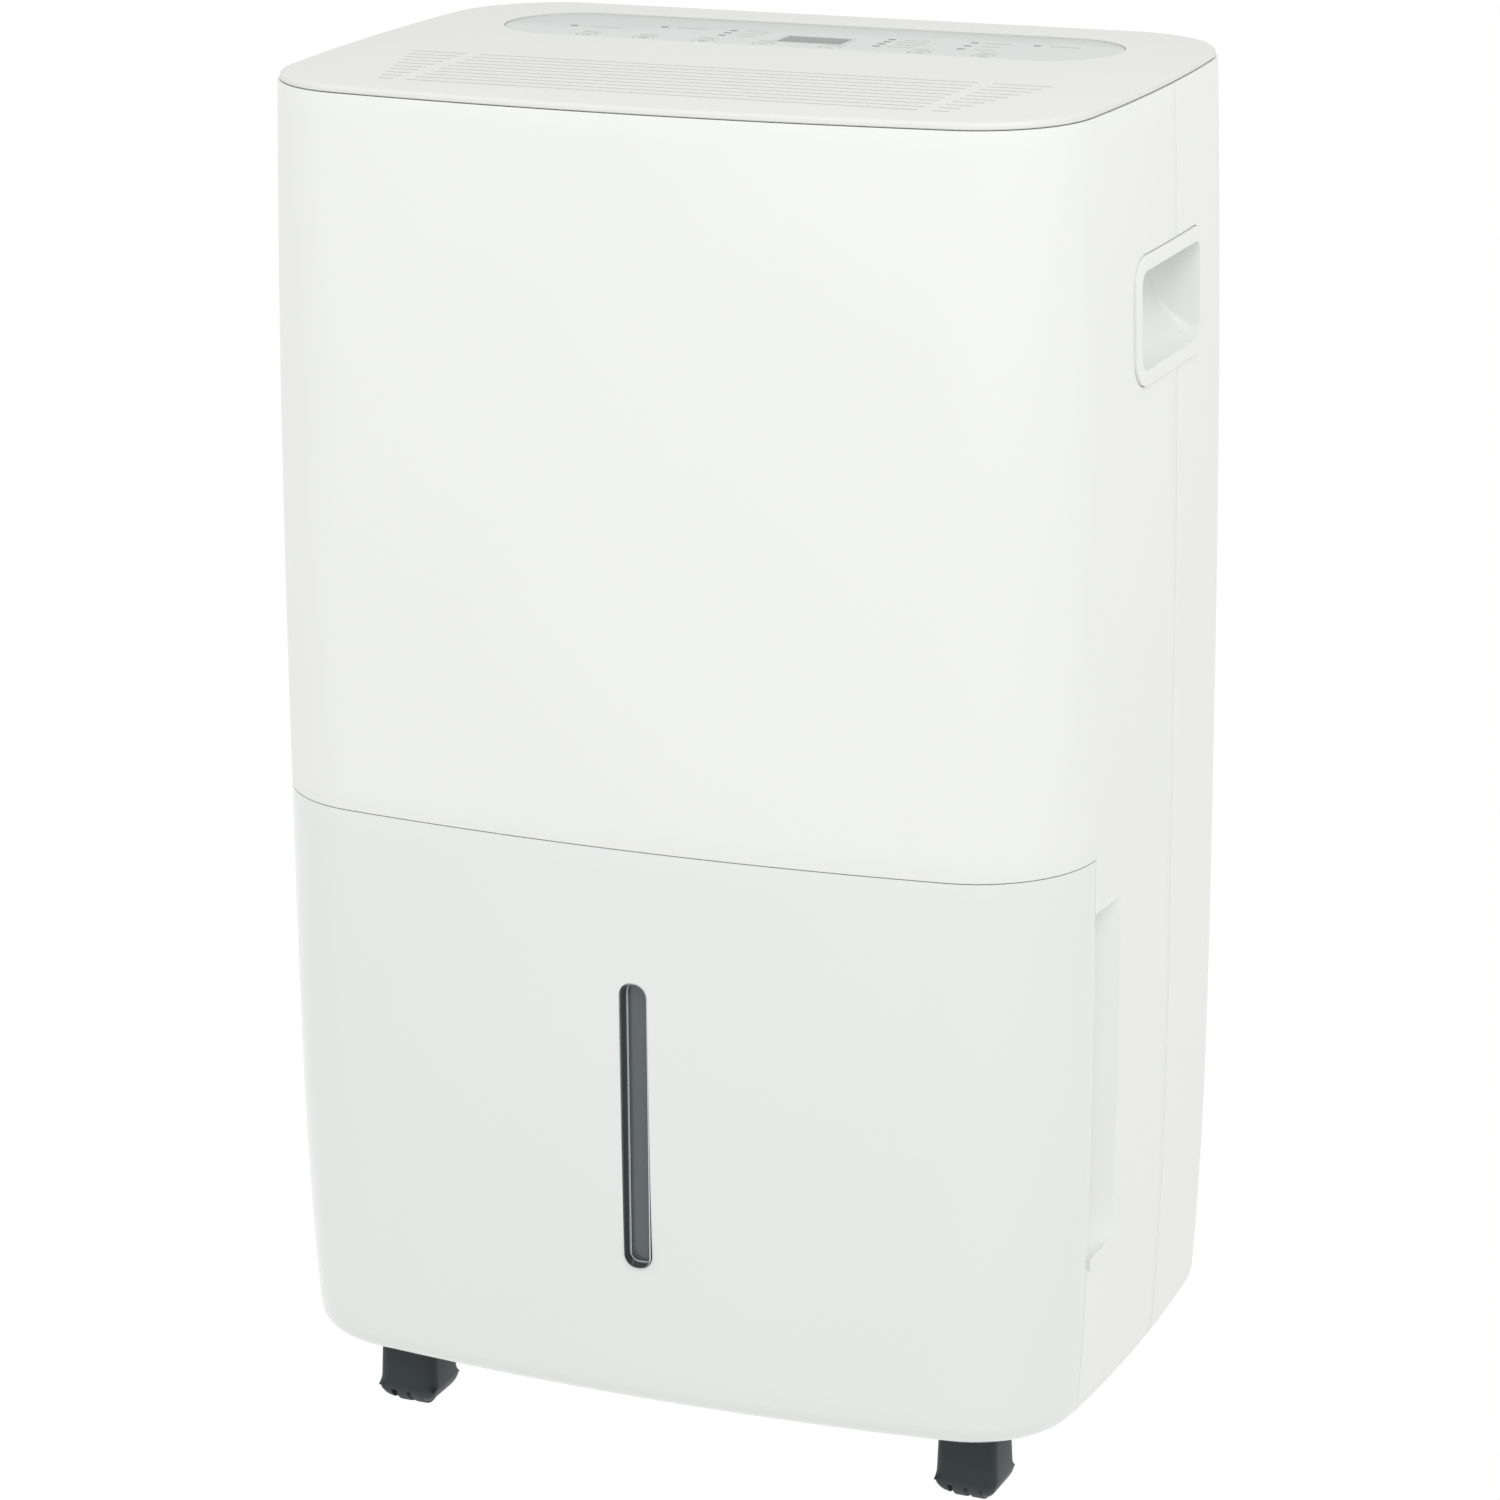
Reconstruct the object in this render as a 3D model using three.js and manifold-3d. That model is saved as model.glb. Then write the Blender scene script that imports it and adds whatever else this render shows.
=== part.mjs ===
// A portable room dehumidifier on four swivel casters. It draws damp air in through a filter
// door at the back, over a cold and a hot coil, and blows it out through slots in the top.
// The water drips into a bucket that slides out at the front.
//
// Millimetres, +Z up, front towards -Y. The origin is on the floor, under the middle of the
// cabinet.
import * as THREE from "three";
import { mergeVertices } from "three/addons/utils/BufferGeometryUtils.js";
import Module from "manifold-3d";

const wasm = await Module();
wasm.setup();

// ---------------------------------------------------------------- driving sizes

const cabinet = {
  width: 385, // over the fullest part of the sides
  depth: 274,
  height: 623.5, // floor to the top panel
  underside: 41, // clearance under the cabinet
  wall: 3,
  frontBow: 1180, // plan radius of the front
  sideBow: 1130, // plan radius of each side
  frontCorner: 55,
  rearCorner: 57,
  waist: 330, // height of the fullest section
  topTaper: 4.2, // how far the sides lean in at the top
  topTaperPower: 2.3,
  footTaper: 6, // how far they lean in at the foot
  footTaperPower: 3.8,
  footRound: 10, // rounded lower edge
  seamY: 21, // where the front and rear housings meet
};
const gap = 0.8; // visible joint between mouldings
const touch = 0.3; // between pieces that rest on each other

const lid = {
  height: 2.6, // how far its rim stands above the housings
  plate: 4.2,
  edgeRound: 1.8,
  inset: 0.9,
  skirt: 8,
  skirtWall: 1.6,
};
const louvre = {
  rows: 10,
  pitch: 8,
  slot: 3,
  frontMargin: 38,
  endMargin: 62,
  flare: 2.2, // each row is longer than the one in front of it
  crossRib: 6,
  ribMargin: 75.5,
};
const overlay = {
  length: 294,
  width: 66,
  thickness: 1.8,
  rearMargin: 34,
  recess: 0.5,
  ledge: 2.5,
  fit: 0.3,
};
const display = { width: 30, depth: 15, x: 6, y: -8, fit: 0.3 };
const key = { radius: 4.8, height: 3.3, stemRadius: 2, stem: 1.3, travel: 0.6, fit: 0.4, y: -25 };
const keys = { power: -98, filter: -70, fan: -41, down: -12, up: 20, timer: 62, mode: 92 };

const bucket = {
  top: 303, // height of the split under the upper housing
  wrap: 62, // how far its front wraps round the sides
  lip: 9,
  lipHeight: 3,
  wall: 2.5,
  rim: 11, // tank rim below the top of the front
  frontGap: 15,
  backGap: 4,
  corner: 30,
};
const runner = { x: 90, width: 12, height: 12 };
const sight = {
  width: 12.8,
  bottom: 109,
  top: 242,
  corner: 6,
  set: 0.5, // its rim lies just under the bucket's face
  recess: 5.4, // from the rim down to the pane
  pane: 1.8,
  wall: 1.8,
  fit: 0.3,
};
const grip = { bottom: 121, top: 277, length: 29, depth: 14, topRound: 16, bottomRound: 28 };
const float = {
  length: 46,
  width: 30,
  height: 24,
  armLength: 26,
  arm: 5,
  x: 60,
  drop: 38,
  pin: 2,
  pinFit: 0.3,
};

const handle = {
  length: 94,
  height: 56,
  corner: 13,
  rim: 6.5,
  proud: 1.2,
  depth: 26,
  wall: 2.5,
  fit: 0.5,
  y: 11.5,
  fromTop: 97.5,
};
const machineRoom = 118; // depth behind the bucket bay
const shelf = { aboveBucket: 2, thickness: 3, pipeFront: 37, pipeRoom: 9.2, drain: 7, drainY: -5 };
const pan = { thickness: 4, boss: 10, bossHeight: 12 };

const door = {
  aboveShelf: 28,
  belowTop: 22,
  sideMargin: 6,
  fit: 0.6,
  thickness: 3,
  rows: 12,
  columns: 2,
  slot: 12,
  border: 12,
};
const filter = { thickness: 4, behindDoor: 0.8, margin: 7, frame: 6, bar: 2, columns: 4, rows: 4 };
const coil = {
  overhang: 7,
  evaporator: 26,
  condenser: 30,
  behindFilter: 5,
  between: 8,
  aboveTray: 17,
  belowTop: 20,
  plate: 1.5,
};
const bend = { count: 3, radius: 9, tube: 3.5 };
const tray = { wall: 2, height: 13, margin: 6, spoutWidth: 24 };

const scroll = { wall: 2.5, clearance: 5, duct: 70, motorRoom: 20, mouth: 6, flare: 26, inletShare: 0.68 };
const blower = { clearance: 14, blades: 12, blade: 1.8, bladeDepth: 15, disc: 2, hub: 12, endGap: 5 };
const motor = { radius: 42, length: 36, shaft: 4, shaftFit: 0.4, bracket: 2.5, bracketGap: 0.4 };

const compressor = {
  radius: 48,
  x: 40,
  belowShelf: 40,
  foot: 56,
  footPlate: 3,
  grommet: 8,
  grommetHeight: 8,
};
const accumulator = { radius: 20, gap: 4, bottom: 100, height: 110 };
const pipe = { radius: 4, steps: 16, sides: 6 };
const controlBox = { width: 60, depth: 70, bottom: 150, height: 90, sideMargin: 38 };

const drain = {
  x: 104,
  z: 12,
  outer: 7,
  bore: 4.6,
  head: 9,
  hole: 12,
  headHeight: 5,
  plug: 4.2,
  plugLength: 4,
};
const gland = { x: -106, z: 36, radius: 11, bore: 3.6, length: 12, fit: 0.4 };
const screw = { head: 3.5, headHeight: 2.4, shank: 1.8, length: 12, fit: 0.4, margin: 6, low: 40 };

const caster = {
  insetX: 54.5,
  insetFront: 63.5,
  insetRear: 46,
  hood: 29,
  hoodTop: 39,
  lift: 2.5,
  round: 7,
  wheel: 12.5,
  wheelWidth: 14,
  trail: 6,
  axle: 2,
  fit: 0.4,
  stem: 5,
  stemLength: 16,
  notch: 13,
  notchHeight: 7,
};

// ---------------------------------------------------------------- places worked out from them

const halfWidth = cabinet.width / 2;
const halfDepth = cabinet.depth / 2;
const lidBase = cabinet.height - lid.height;
const housingTop = lidBase - gap;
const shelfBottom = bucket.top + shelf.aboveBucket;
const shelfTop = shelfBottom + shelf.thickness;
const panTop = cabinet.underside + pan.thickness;
const bucketEdge = -halfDepth + bucket.wrap; // rear edge of the bucket's wrap-round front
const bucketTop = bucket.top - gap;
const bucketFloor = panTop + runner.height + touch;
const bayBack = halfDepth - cabinet.wall - machineRoom - shelf.thickness;
const machineY = halfDepth - cabinet.wall - machineRoom / 2;
const rearFlat = rearCornerCentre().x; // half the width of the flat back
const overlayY = halfDepth - overlay.rearMargin - overlay.width / 2;
const louvreFront = -halfDepth + louvre.frontMargin;
const louvreBack = louvreFront + (louvre.rows - 1) * louvre.pitch;
const overlayTop = cabinet.height - overlay.recess;

// ---------------------------------------------------------------- materials

const finish = (color, roughness, metalness) =>
  new THREE.MeshStandardMaterial({ color, roughness, metalness });
const plastic = (color, roughness = 0.45) => finish(color, roughness, 0);
const metal = (color, roughness = 0.35) => finish(color, roughness, 1);
const white = plastic(0xf4f5f2, 0.35);
const paleGrey = plastic(0xe3e6e2, 0.4);
const panelGrey = plastic(0xccd3d0, 0.3);
const darkLens = plastic(0x2c3436, 0.15);
const clear = plastic(0x8b949c, 0.1);
const milky = plastic(0xdfe6e8, 0.4);
const black = plastic(0x22282b, 0.5);
const rubber = plastic(0x1b1d1e, 0.85);
const foam = plastic(0xf3f0e6, 0.8);
const mesh = plastic(0x3a4044, 0.7);
const board = plastic(0x1f5a3a, 0.5);
const copper = metal(0xb8694a, 0.35);
const aluminium = metal(0xb9bec2, 0.4);
const steel = metal(0x9aa0a4, 0.35);
const paintedSteel = plastic(0x191b1d, 0.4);

// ---------------------------------------------------------------- solid helpers

// A closed geometry as a solid that can be cut and joined.
function solid(geometry) {
  const bare = geometry.clone();
  bare.deleteAttribute("normal");
  bare.deleteAttribute("uv");
  const merged = mergeVertices(bare, 1e-4);
  return new wasm.Manifold(
    new wasm.Mesh({
      numProp: 3,
      vertProperties: merged.attributes.position.array,
      triVerts: new Uint32Array(merged.index.array),
    }),
  );
}

// A solid back as a geometry that a mesh can show.
function geometryOf(shape) {
  const made = shape.getMesh();
  const geometry = new THREE.BufferGeometry();
  geometry.setAttribute("position", new THREE.BufferAttribute(made.vertProperties, 3));
  geometry.setIndex(new THREE.BufferAttribute(made.triVerts, 1));
  geometry.computeVertexNormals();
  return geometry;
}

const join = (...shapes) => shapes.reduce((all, shape) => all.add(shape));
const cut = (shape, ...tools) => tools.reduce((left, tool) => left.subtract(tool), shape);

function box([x0, x1], [y0, y1], [z0, z1]) {
  const geometry = new THREE.BoxGeometry(x1 - x0, y1 - y0, z1 - z0);
  return solid(geometry.translate((x0 + x1) / 2, (y0 + y1) / 2, (z0 + z1) / 2));
}

// A round bar from one point, along an axis, for a length.
function bar(axis, radius, from, length, sides = 16) {
  const geometry = new THREE.CylinderGeometry(radius, radius, length, sides);
  if (axis === "x") geometry.rotateZ(Math.PI / 2);
  if (axis === "z") geometry.rotateX(Math.PI / 2);
  const middle = { x: 0, y: 0, z: 0 };
  middle[axis] = length / 2;
  return solid(geometry.translate(from[0] + middle.x, from[1] + middle.y, from[2] + middle.z));
}

function roundedRectangle(width, height, corner) {
  const x = width / 2 - corner;
  const y = height / 2 - corner;
  const shape = new THREE.Shape();
  shape.absarc(x, y, corner, 0, Math.PI / 2);
  shape.absarc(-x, y, corner, Math.PI / 2, Math.PI);
  shape.absarc(-x, -y, corner, Math.PI, Math.PI * 1.5);
  shape.absarc(x, -y, corner, Math.PI * 1.5, Math.PI * 2);
  return shape;
}

// A flat shape made solid. It lies in XY, XZ or YZ, and grows along +Z, +Y or +X.
function prism(shape, plane, from, length, curveSegments = 4) {
  const settings = { depth: length, bevelEnabled: false, curveSegments };
  const geometry = new THREE.ExtrudeGeometry(shape, settings);
  if (plane === "xz") geometry.rotateX(Math.PI / 2).translate(0, length, 0);
  if (plane === "yz") geometry.rotateX(Math.PI / 2).rotateZ(Math.PI / 2);
  return solid(geometry.translate(...from));
}

const polygon = (...points) => new THREE.Shape(points.map(([x, y]) => new THREE.Vector2(x, y)));

function turned(profile, [x, y, z], sides = 20) {
  const points = profile.map(([r, h]) => new THREE.Vector2(r, h));
  const geometry = new THREE.LatheGeometry(points, sides);
  return solid(geometry.rotateX(Math.PI / 2).translate(x, y, z));
}

const circlePoints = (radius, sides) =>
  Array.from({ length: sides }, (_, i) => {
    const angle = (i / sides) * Math.PI * 2;
    return [radius * Math.cos(angle), radius * Math.sin(angle)];
  });

function tube(points, radius = pipe.radius) {
  const corners = points.map((p) => new THREE.Vector3(...p));
  const extrudePath = new THREE.CatmullRomCurve3(corners, false, "centripetal");
  const section = polygon(...circlePoints(radius, pipe.sides));
  const settings = { steps: pipe.steps, extrudePath, bevelEnabled: false };
  return solid(new THREE.ExtrudeGeometry(section, settings));
}

// ---------------------------------------------------------------- the cabinet's own form

function rearCornerCentre() {
  const { sideBow, rearCorner } = cabinet;
  const y = halfDepth - rearCorner;
  return { x: halfWidth - sideBow + Math.sqrt((sideBow - rearCorner) ** 2 - y ** 2), y };
}

// Where a corner arc of that radius touches the bowed front and the bowed side from inside.
function frontCornerCentre() {
  const { frontBow, sideBow, frontCorner } = cabinet;
  const front = new THREE.Vector2(0, frontBow - halfDepth);
  const side = new THREE.Vector2(halfWidth - sideBow, 0);
  const toFront = frontBow - frontCorner;
  const toSide = sideBow - frontCorner;
  const between = side.clone().sub(front);
  const distance = between.length();
  const along = (toFront ** 2 - toSide ** 2 + distance ** 2) / (2 * distance);
  const across = Math.sqrt(toFront ** 2 - along ** 2);
  const unit = between.divideScalar(distance);
  const left = new THREE.Vector2(-unit.y, unit.x).multiplyScalar(across);
  return front.addScaledVector(unit, along).add(left);
}

// Plan outline, counterclockwise from the middle of the front, moved in by inset.
function cabinetOutline(inset) {
  const { frontBow, sideBow, frontCorner, rearCorner } = cabinet;
  const front = { x: 0, y: frontBow - halfDepth };
  const side = { x: halfWidth - sideBow, y: 0 };
  const nose = frontCornerCentre();
  const tail = rearCornerCentre();
  const noseStart = Math.atan2(nose.y - front.y, nose.x - front.x);
  const noseEnd = Math.atan2(nose.y - side.y, nose.x - side.x);
  const tailStart = Math.atan2(tail.y - side.y, tail.x - side.x);
  const arcs = [
    [front, frontBow, -Math.PI / 2, noseStart, 4],
    [nose, frontCorner, noseStart, noseEnd, 4],
    [side, sideBow, noseEnd, tailStart, 3],
    [tail, rearCorner, tailStart, Math.PI / 2, 4],
  ];
  const right = arcs.flatMap(([centre, radius, start, end, steps]) => {
    const arc = new THREE.ArcCurve(centre.x, centre.y, radius - inset, start, end, false);
    return arc.getPoints(steps).slice(1);
  });
  const left = right.map((p) => new THREE.Vector2(-p.x, p.y)).reverse();
  return [new THREE.Vector2(0, inset - halfDepth), ...right, ...left];
}

// How far the cabinet's surface lies inside its fullest outline at a height.
function insetAt(height) {
  const { waist, underside, footRound, topTaper, footTaper } = cabinet;
  const z = THREE.MathUtils.clamp(height, underside, cabinet.height);
  const up = Math.max(0, z - waist) / (cabinet.height - waist);
  const down = Math.max(0, waist - z) / (waist - underside);
  const foot = Math.max(0, underside + footRound - z);
  const rounding = footRound - Math.sqrt(footRound ** 2 - foot ** 2);
  const topLean = topTaper * up ** cabinet.topTaperPower;
  const footLean = footTaper * down ** cabinet.footTaperPower;
  return topLean + footLean + rounding;
}

// A closed skin through rings of equal count, from the bottom up.
function loft(rings) {
  const count = rings[0].length;
  const points = rings.flat();
  const faces = [];
  for (let level = 0; level + 1 < rings.length; level++) {
    for (let i = 0; i < count; i++) {
      const a = level * count + i;
      const b = level * count + ((i + 1) % count);
      faces.push(a, b, b + count, a, b + count, a + count);
    }
  }
  const top = points.length - count;
  points.push(new THREE.Vector3(0, 0, rings[0][0].z), new THREE.Vector3(0, 0, rings.at(-1)[0].z));
  for (let i = 0; i < count; i++) {
    const next = (i + 1) % count;
    faces.push(points.length - 2, next, i, points.length - 1, top + i, top + next);
  }
  const geometry = new THREE.BufferGeometry().setFromPoints(points);
  geometry.setIndex(faces);
  return solid(geometry);
}

const ring = (inset, z) => cabinetOutline(inset).map((p) => new THREE.Vector3(p.x, p.y, z));

// The cabinet's form as a block between two heights, moved in by inset.
function cabinetBlock(inset, bottom, top) {
  const { underside, footRound, waist, height } = cabinet;
  const footTop = underside + footRound;
  const foot = [0.15, 0.45, 1].map((share) => underside + footRound * share);
  const lower = [0.35, 0.7, 1].map((share) => footTop + (waist - footTop) * share);
  const upper = [0.4, 0.7].map((share) => waist + (height - waist) * share);
  const between = [...foot, ...lower, ...upper].filter((z) => z > bottom + 1 && z < top - 1);
  return loft([bottom, ...between, top].map((z) => ring(inset + insetAt(z), z)));
}

const beyond = 1000;
const everywhere = [-beyond, beyond];
const shell = (bottom, top) =>
  cut(cabinetBlock(0, bottom, top), cabinetBlock(cabinet.wall, bottom - 1, top + 1));

// ---------------------------------------------------------------- the object

const dehumidifier = new THREE.Group();

function addTo(group, name, shape, material) {
  const made = new THREE.Mesh(geometryOf(shape), material);
  made.name = name;
  group.add(made);
  return made;
}
const add = (name, shape, material) => addTo(dehumidifier, name, shape, material);

// ---- housings

const handleZ = cabinet.height - handle.fromTop;
const handleOutline = (grow) =>
  roundedRectangle(handle.length + 2 * grow, handle.height + 2 * grow, handle.corner + grow);
const handleBar = (grow, from, length) =>
  prism(handleOutline(grow), "yz", [from, handle.y, handleZ], length, 3);
const handleHoles = handleBar(handle.fit, -beyond, 2 * beyond);

// One side's finger scoop: shallow at the back, deepest at the edge that the fingers pull.
function gripParts(side) {
  const rear = bucketEdge + grip.length;
  const { wall } = cabinet;
  const turn = (points) => (side > 0 ? points : points.reverse());
  const place = (points) => turn(points).map(([inward, y]) => [side * (halfWidth - inward), y]);
  const scoopPlan = place([
    [-9, bucketEdge - 5],
    [-9, rear],
    [2.5, rear],
    [grip.depth, bucketEdge - 5],
  ]);
  const pocketPlan = place([
    [1, bucketEdge],
    [1, rear + wall + 1],
    [wall + 4, rear + wall + 1],
    [grip.depth + wall, bucketEdge],
  ]);
  const height = grip.top - grip.bottom;
  const face = new THREE.Shape();
  face.moveTo(bucketEdge - 6, grip.bottom);
  face.lineTo(rear - grip.bottomRound, grip.bottom);
  face.absarc(rear - grip.bottomRound, grip.bottom + grip.bottomRound, grip.bottomRound, -Math.PI / 2, 0);
  face.absarc(rear - grip.topRound, grip.top - grip.topRound, grip.topRound, 0, Math.PI / 2);
  face.lineTo(bucketEdge - 6, grip.top);
  const scoop = prism(polygon(...scoopPlan), "xy", [0, 0, grip.bottom], height);
  const mouth = prism(face, "yz", [-beyond, 0, 0], 2 * beyond, 5);
  const pocket = prism(polygon(...pocketPlan), "xy", [0, 0, grip.bottom - wall], height + 2 * wall);
  return {
    scoop: scoop.intersect(mouth),
    pocket: pocket.intersect(cabinetBlock(0.4, cabinet.underside, bucketTop)),
  };
}
const grips = [gripParts(1), gripParts(-1)];

const frontHalf = box(everywhere, [-beyond, cabinet.seamY - gap / 2], everywhere);
const rearHalf = box(everywhere, [cabinet.seamY + gap / 2, beyond], everywhere);
const housing = shell(cabinet.underside, housingTop);
const bucketMouth = box(everywhere, [-beyond, bucketEdge], [-beyond, bucket.top]);
const frontSkin = cut(housing.intersect(frontHalf), bucketMouth);
const frontWithPockets = join(frontSkin, ...grips.map((g) => g.pocket));
add("front_housing", cut(frontWithPockets, ...grips.map((g) => g.scoop), handleHoles), white);

const doorBottom = shelfTop + door.aboveShelf;
const doorTop = housingTop - door.belowTop;
const doorHalf = rearFlat - door.sideMargin;
const doorY = halfDepth - door.thickness;
const doorHole = box([-doorHalf, doorHalf], [machineY, beyond], [doorBottom, doorTop]);
const drainAt = shelfTop + drain.z;
const glandAt = cabinet.underside + gland.z;
const screwX = rearFlat - screw.margin;
const screwHeights = [cabinet.underside + screw.low, (doorTop + housingTop) / 2];
const screwPlaces = screwHeights.flatMap((z) => [-screwX, screwX].map((x) => [x, z]));
const backFace = (z) => halfDepth - insetAt(z);
const backHole = (x, z, radius) => bar("y", radius, [x, machineY, z], machineRoom);
add(
  "rear_housing",
  cut(
    housing.intersect(rearHalf),
    doorHole,
    handleHoles,
    backHole(drain.x, drainAt, drain.hole),
    backHole(gland.x, glandAt, gland.radius + gland.fit),
    ...screwPlaces.map(([x, z]) => backHole(x, z, screw.head + screw.fit)),
  ),
  white,
);

// ---- top panel, with its air slots and the recess for the controls

const lidInset = insetAt(cabinet.height) + lid.inset;
function lidBlock() {
  const edge = cabinet.height - lid.edgeRound;
  const rounding = [1, 2].map((step) => {
    const angle = (step / 2) * (Math.PI / 2);
    const inward = lid.edgeRound * (1 - Math.cos(angle));
    return ring(lidInset + inward, edge + lid.edgeRound * Math.sin(angle));
  });
  return loft([ring(lidInset, lidBase), ring(lidInset, edge), ...rounding]);
}
function lidSkirt() {
  const outer = cabinet.wall + gap;
  const bottom = housingTop - lid.skirt;
  const top = lidBase + 1;
  return cut(cabinetBlock(outer, bottom, top), cabinetBlock(outer + lid.skirtWall, bottom - 1, top + 1));
}
const stadium = (length, width) => roundedRectangle(length, width, width / 2 - 0.01);
const underPlate = cabinet.height - lid.plate;
const slotBar = (from, to, y) =>
  box([from, to], [y - louvre.slot / 2, y + louvre.slot / 2], [underPlate - 1, cabinet.height + 1]);
function louvreSlots() {
  const slots = [];
  for (let row = 0; row < louvre.rows; row++) {
    const y = louvreFront + row * louvre.pitch;
    const end = halfWidth - louvre.endMargin + row * louvre.flare;
    const main = halfWidth - louvre.ribMargin;
    const start = main + louvre.crossRib;
    slots.push(slotBar(-main, main, y), slotBar(start, end, y), slotBar(-end, -start, y));
  }
  return slots;
}
const overlayFloor = overlayTop - overlay.thickness - touch;
function overlayBlock(grow, from, height) {
  const outline = stadium(overlay.length + 2 * grow, overlay.width + 2 * grow);
  return prism(outline, "xy", [0, overlayY, from], height, 5);
}
const lidPlate = cabinetBlock(cabinet.wall + gap, underPlate, lidBase + 1);
add(
  "top_panel",
  cut(
    join(lidBlock(), lidPlate, lidSkirt()),
    ...louvreSlots(),
    overlayBlock(overlay.fit, overlayFloor, 9),
    overlayBlock(-overlay.ledge, underPlate - 1, 9),
  ),
  paleGrey,
);

const displayPlace = [display.x, overlayY + display.y];
const keyY = overlayY + key.y;
const keyPlaces = Object.entries(keys).map(([name, x]) => ({ name: `${name}_key`, x, y: keyY }));
function displayBlock(grow, from, height) {
  const outline = roundedRectangle(display.width + 2 * grow, display.depth + 2 * grow, 1.2 + grow);
  return prism(outline, "xy", [...displayPlace, from], height, 2);
}
add(
  "control_overlay",
  cut(
    overlayBlock(0, overlayFloor + touch, overlay.thickness),
    displayBlock(display.fit, overlayTop - 9, 18),
    ...keyPlaces.map(({ x, y }) => bar("z", key.radius + key.fit, [x, y, overlayTop - 9], 18, 10)),
  ),
  panelGrey,
);
add("display_lens", displayBlock(0, overlayFloor + touch, overlay.thickness), darkLens);

// Each key is a cap with a short stem that presses a switch on the board.
const keyBase = overlayTop - key.height;
for (const { name, x, y } of keyPlaces) {
  const cap = new THREE.Group();
  cap.position.set(x, y, keyBase);
  dehumidifier.add(cap);
  const { radius, height, stemRadius, stem } = key;
  const profile = [
    [0, -stem],
    [stemRadius, -stem],
    [stemRadius, 0],
    [radius, 0],
    [radius, height],
    [0, height],
  ];
  addTo(cap, name, turned(profile, [0, 0, 0], 10), panelGrey);
}
const switchTop = keyBase - key.stem - key.travel - 0.1;
const boardTop = switchTop - 3;
const boardHalf = overlay.length / 2 - overlay.ledge - overlay.width / 4;
add(
  "control_board",
  join(
    box([-boardHalf, boardHalf], [overlayY - 29, overlayY + 20], [boardTop - 1.6, boardTop]),
    ...keyPlaces.map(({ x, y }) => box([x - 3, x + 3], [y - 3, y + 3], [boardTop - 0.5, switchTop])),
    box(
      [display.x - display.width / 2 + 2, display.x + display.width / 2 - 2],
      [displayPlace[1] - 7, displayPlace[1] + 7],
      [boardTop - 0.5, overlayFloor - touch],
    ),
  ),
  board,
);

// ---- side carrying handles: a cup set into both housings, with a raised rim

const sideFace = cabinetBlock(-handle.proud, handleZ - handle.height, handleZ + handle.height);
for (const side of [1, -1]) {
  const surface = halfWidth - insetAt(handleZ);
  const from = side > 0 ? surface - handle.depth : -beyond;
  const outer = handleBar(0, from, beyond - surface + handle.depth);
  const mouth = handleBar(-handle.rim, -beyond, 2 * beyond);
  const low = handleZ - handle.height / 2;
  const deep = surface - handle.depth + handle.wall;
  const shallow = surface - handle.depth * 0.35;
  const section = [
    [side * beyond, low],
    [side * beyond, handleZ + handle.height],
    [side * deep, handleZ + handle.height],
    [side * deep, handleZ + 2],
    [side * shallow, low],
  ];
  const outline = polygon(...(side > 0 ? section : section.reverse()));
  const slope = prism(outline, "xz", [0, handle.y - handle.length, 0], 2 * handle.length);
  const cup = cut(outer, mouth.intersect(slope)).intersect(sideFace);
  add(side > 0 ? "handle_cup_right" : "handle_cup_left", cup, white);
}

// ---- base pan, bay partition and shelf

const fitted = cabinet.wall + touch;
const casterPlaces = [
  ["front_left", -1, -1],
  ["front_right", 1, -1],
  ["rear_left", -1, 1],
  ["rear_right", 1, 1],
].map(([name, side, end]) => {
  const inset = end > 0 ? caster.insetRear : caster.insetFront;
  return { name, x: side * (halfWidth - caster.insetX), y: end * (halfDepth - inset) };
});
const runnerBar = (x) =>
  box(
    [x - runner.width / 2, x + runner.width / 2],
    [-halfDepth + 25, bayBack - 2],
    [panTop - 1, panTop + runner.height],
  );
const stemBoss = ({ x, y }) => bar("z", pan.boss, [x, y, panTop - 1], pan.bossHeight + 1, 12);
const stemHole = ({ x, y }) =>
  bar("z", caster.stem + caster.fit, [x, y, cabinet.underside - 1], caster.stemLength, 10);
add(
  "base_pan",
  cut(
    join(
      cabinetBlock(fitted, cabinet.underside, panTop),
      ...casterPlaces.map(stemBoss),
      runnerBar(-runner.x),
      runnerBar(runner.x),
    ),
    ...casterPlaces.map(stemHole),
  ),
  black,
);

const filterBack = doorY - insetAt(doorTop) - filter.behindDoor;
const filterFront = filterBack - filter.thickness;
const evaporatorY = [filterFront - coil.behindFilter - coil.evaporator, filterFront - coil.behindFilter];
const condenserY = [evaporatorY[0] - coil.between - coil.condenser, evaporatorY[0] - coil.between];
const condenserMiddle = (condenserY[0] + condenserY[1]) / 2;
const evaporatorMiddle = (evaporatorY[0] + evaporatorY[1]) / 2;
const coilHalf = rearFlat + coil.overhang;
const pipeSlotX = [coilHalf + 2, coilHalf + 34];
const pipeSlotY = [machineY - shelf.pipeFront, evaporatorMiddle + pipe.radius + shelf.pipeRoom];
const bayWall = cabinetBlock(fitted, panTop + touch, shelfTop).intersect(
  box(everywhere, [bayBack, bayBack + shelf.thickness], everywhere),
);
add(
  "bay_partition",
  cut(
    join(cabinetBlock(fitted, shelfBottom, shelfTop), bayWall),
    box(pipeSlotX, pipeSlotY, [shelfBottom - 1, shelfTop + 1]),
    bar("z", shelf.drain, [0, shelf.drainY, shelfBottom - 1], shelf.thickness + 2),
  ),
  milky,
);

// ---- bucket: a wrap-round front, a tank, a sight window and a float

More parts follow.
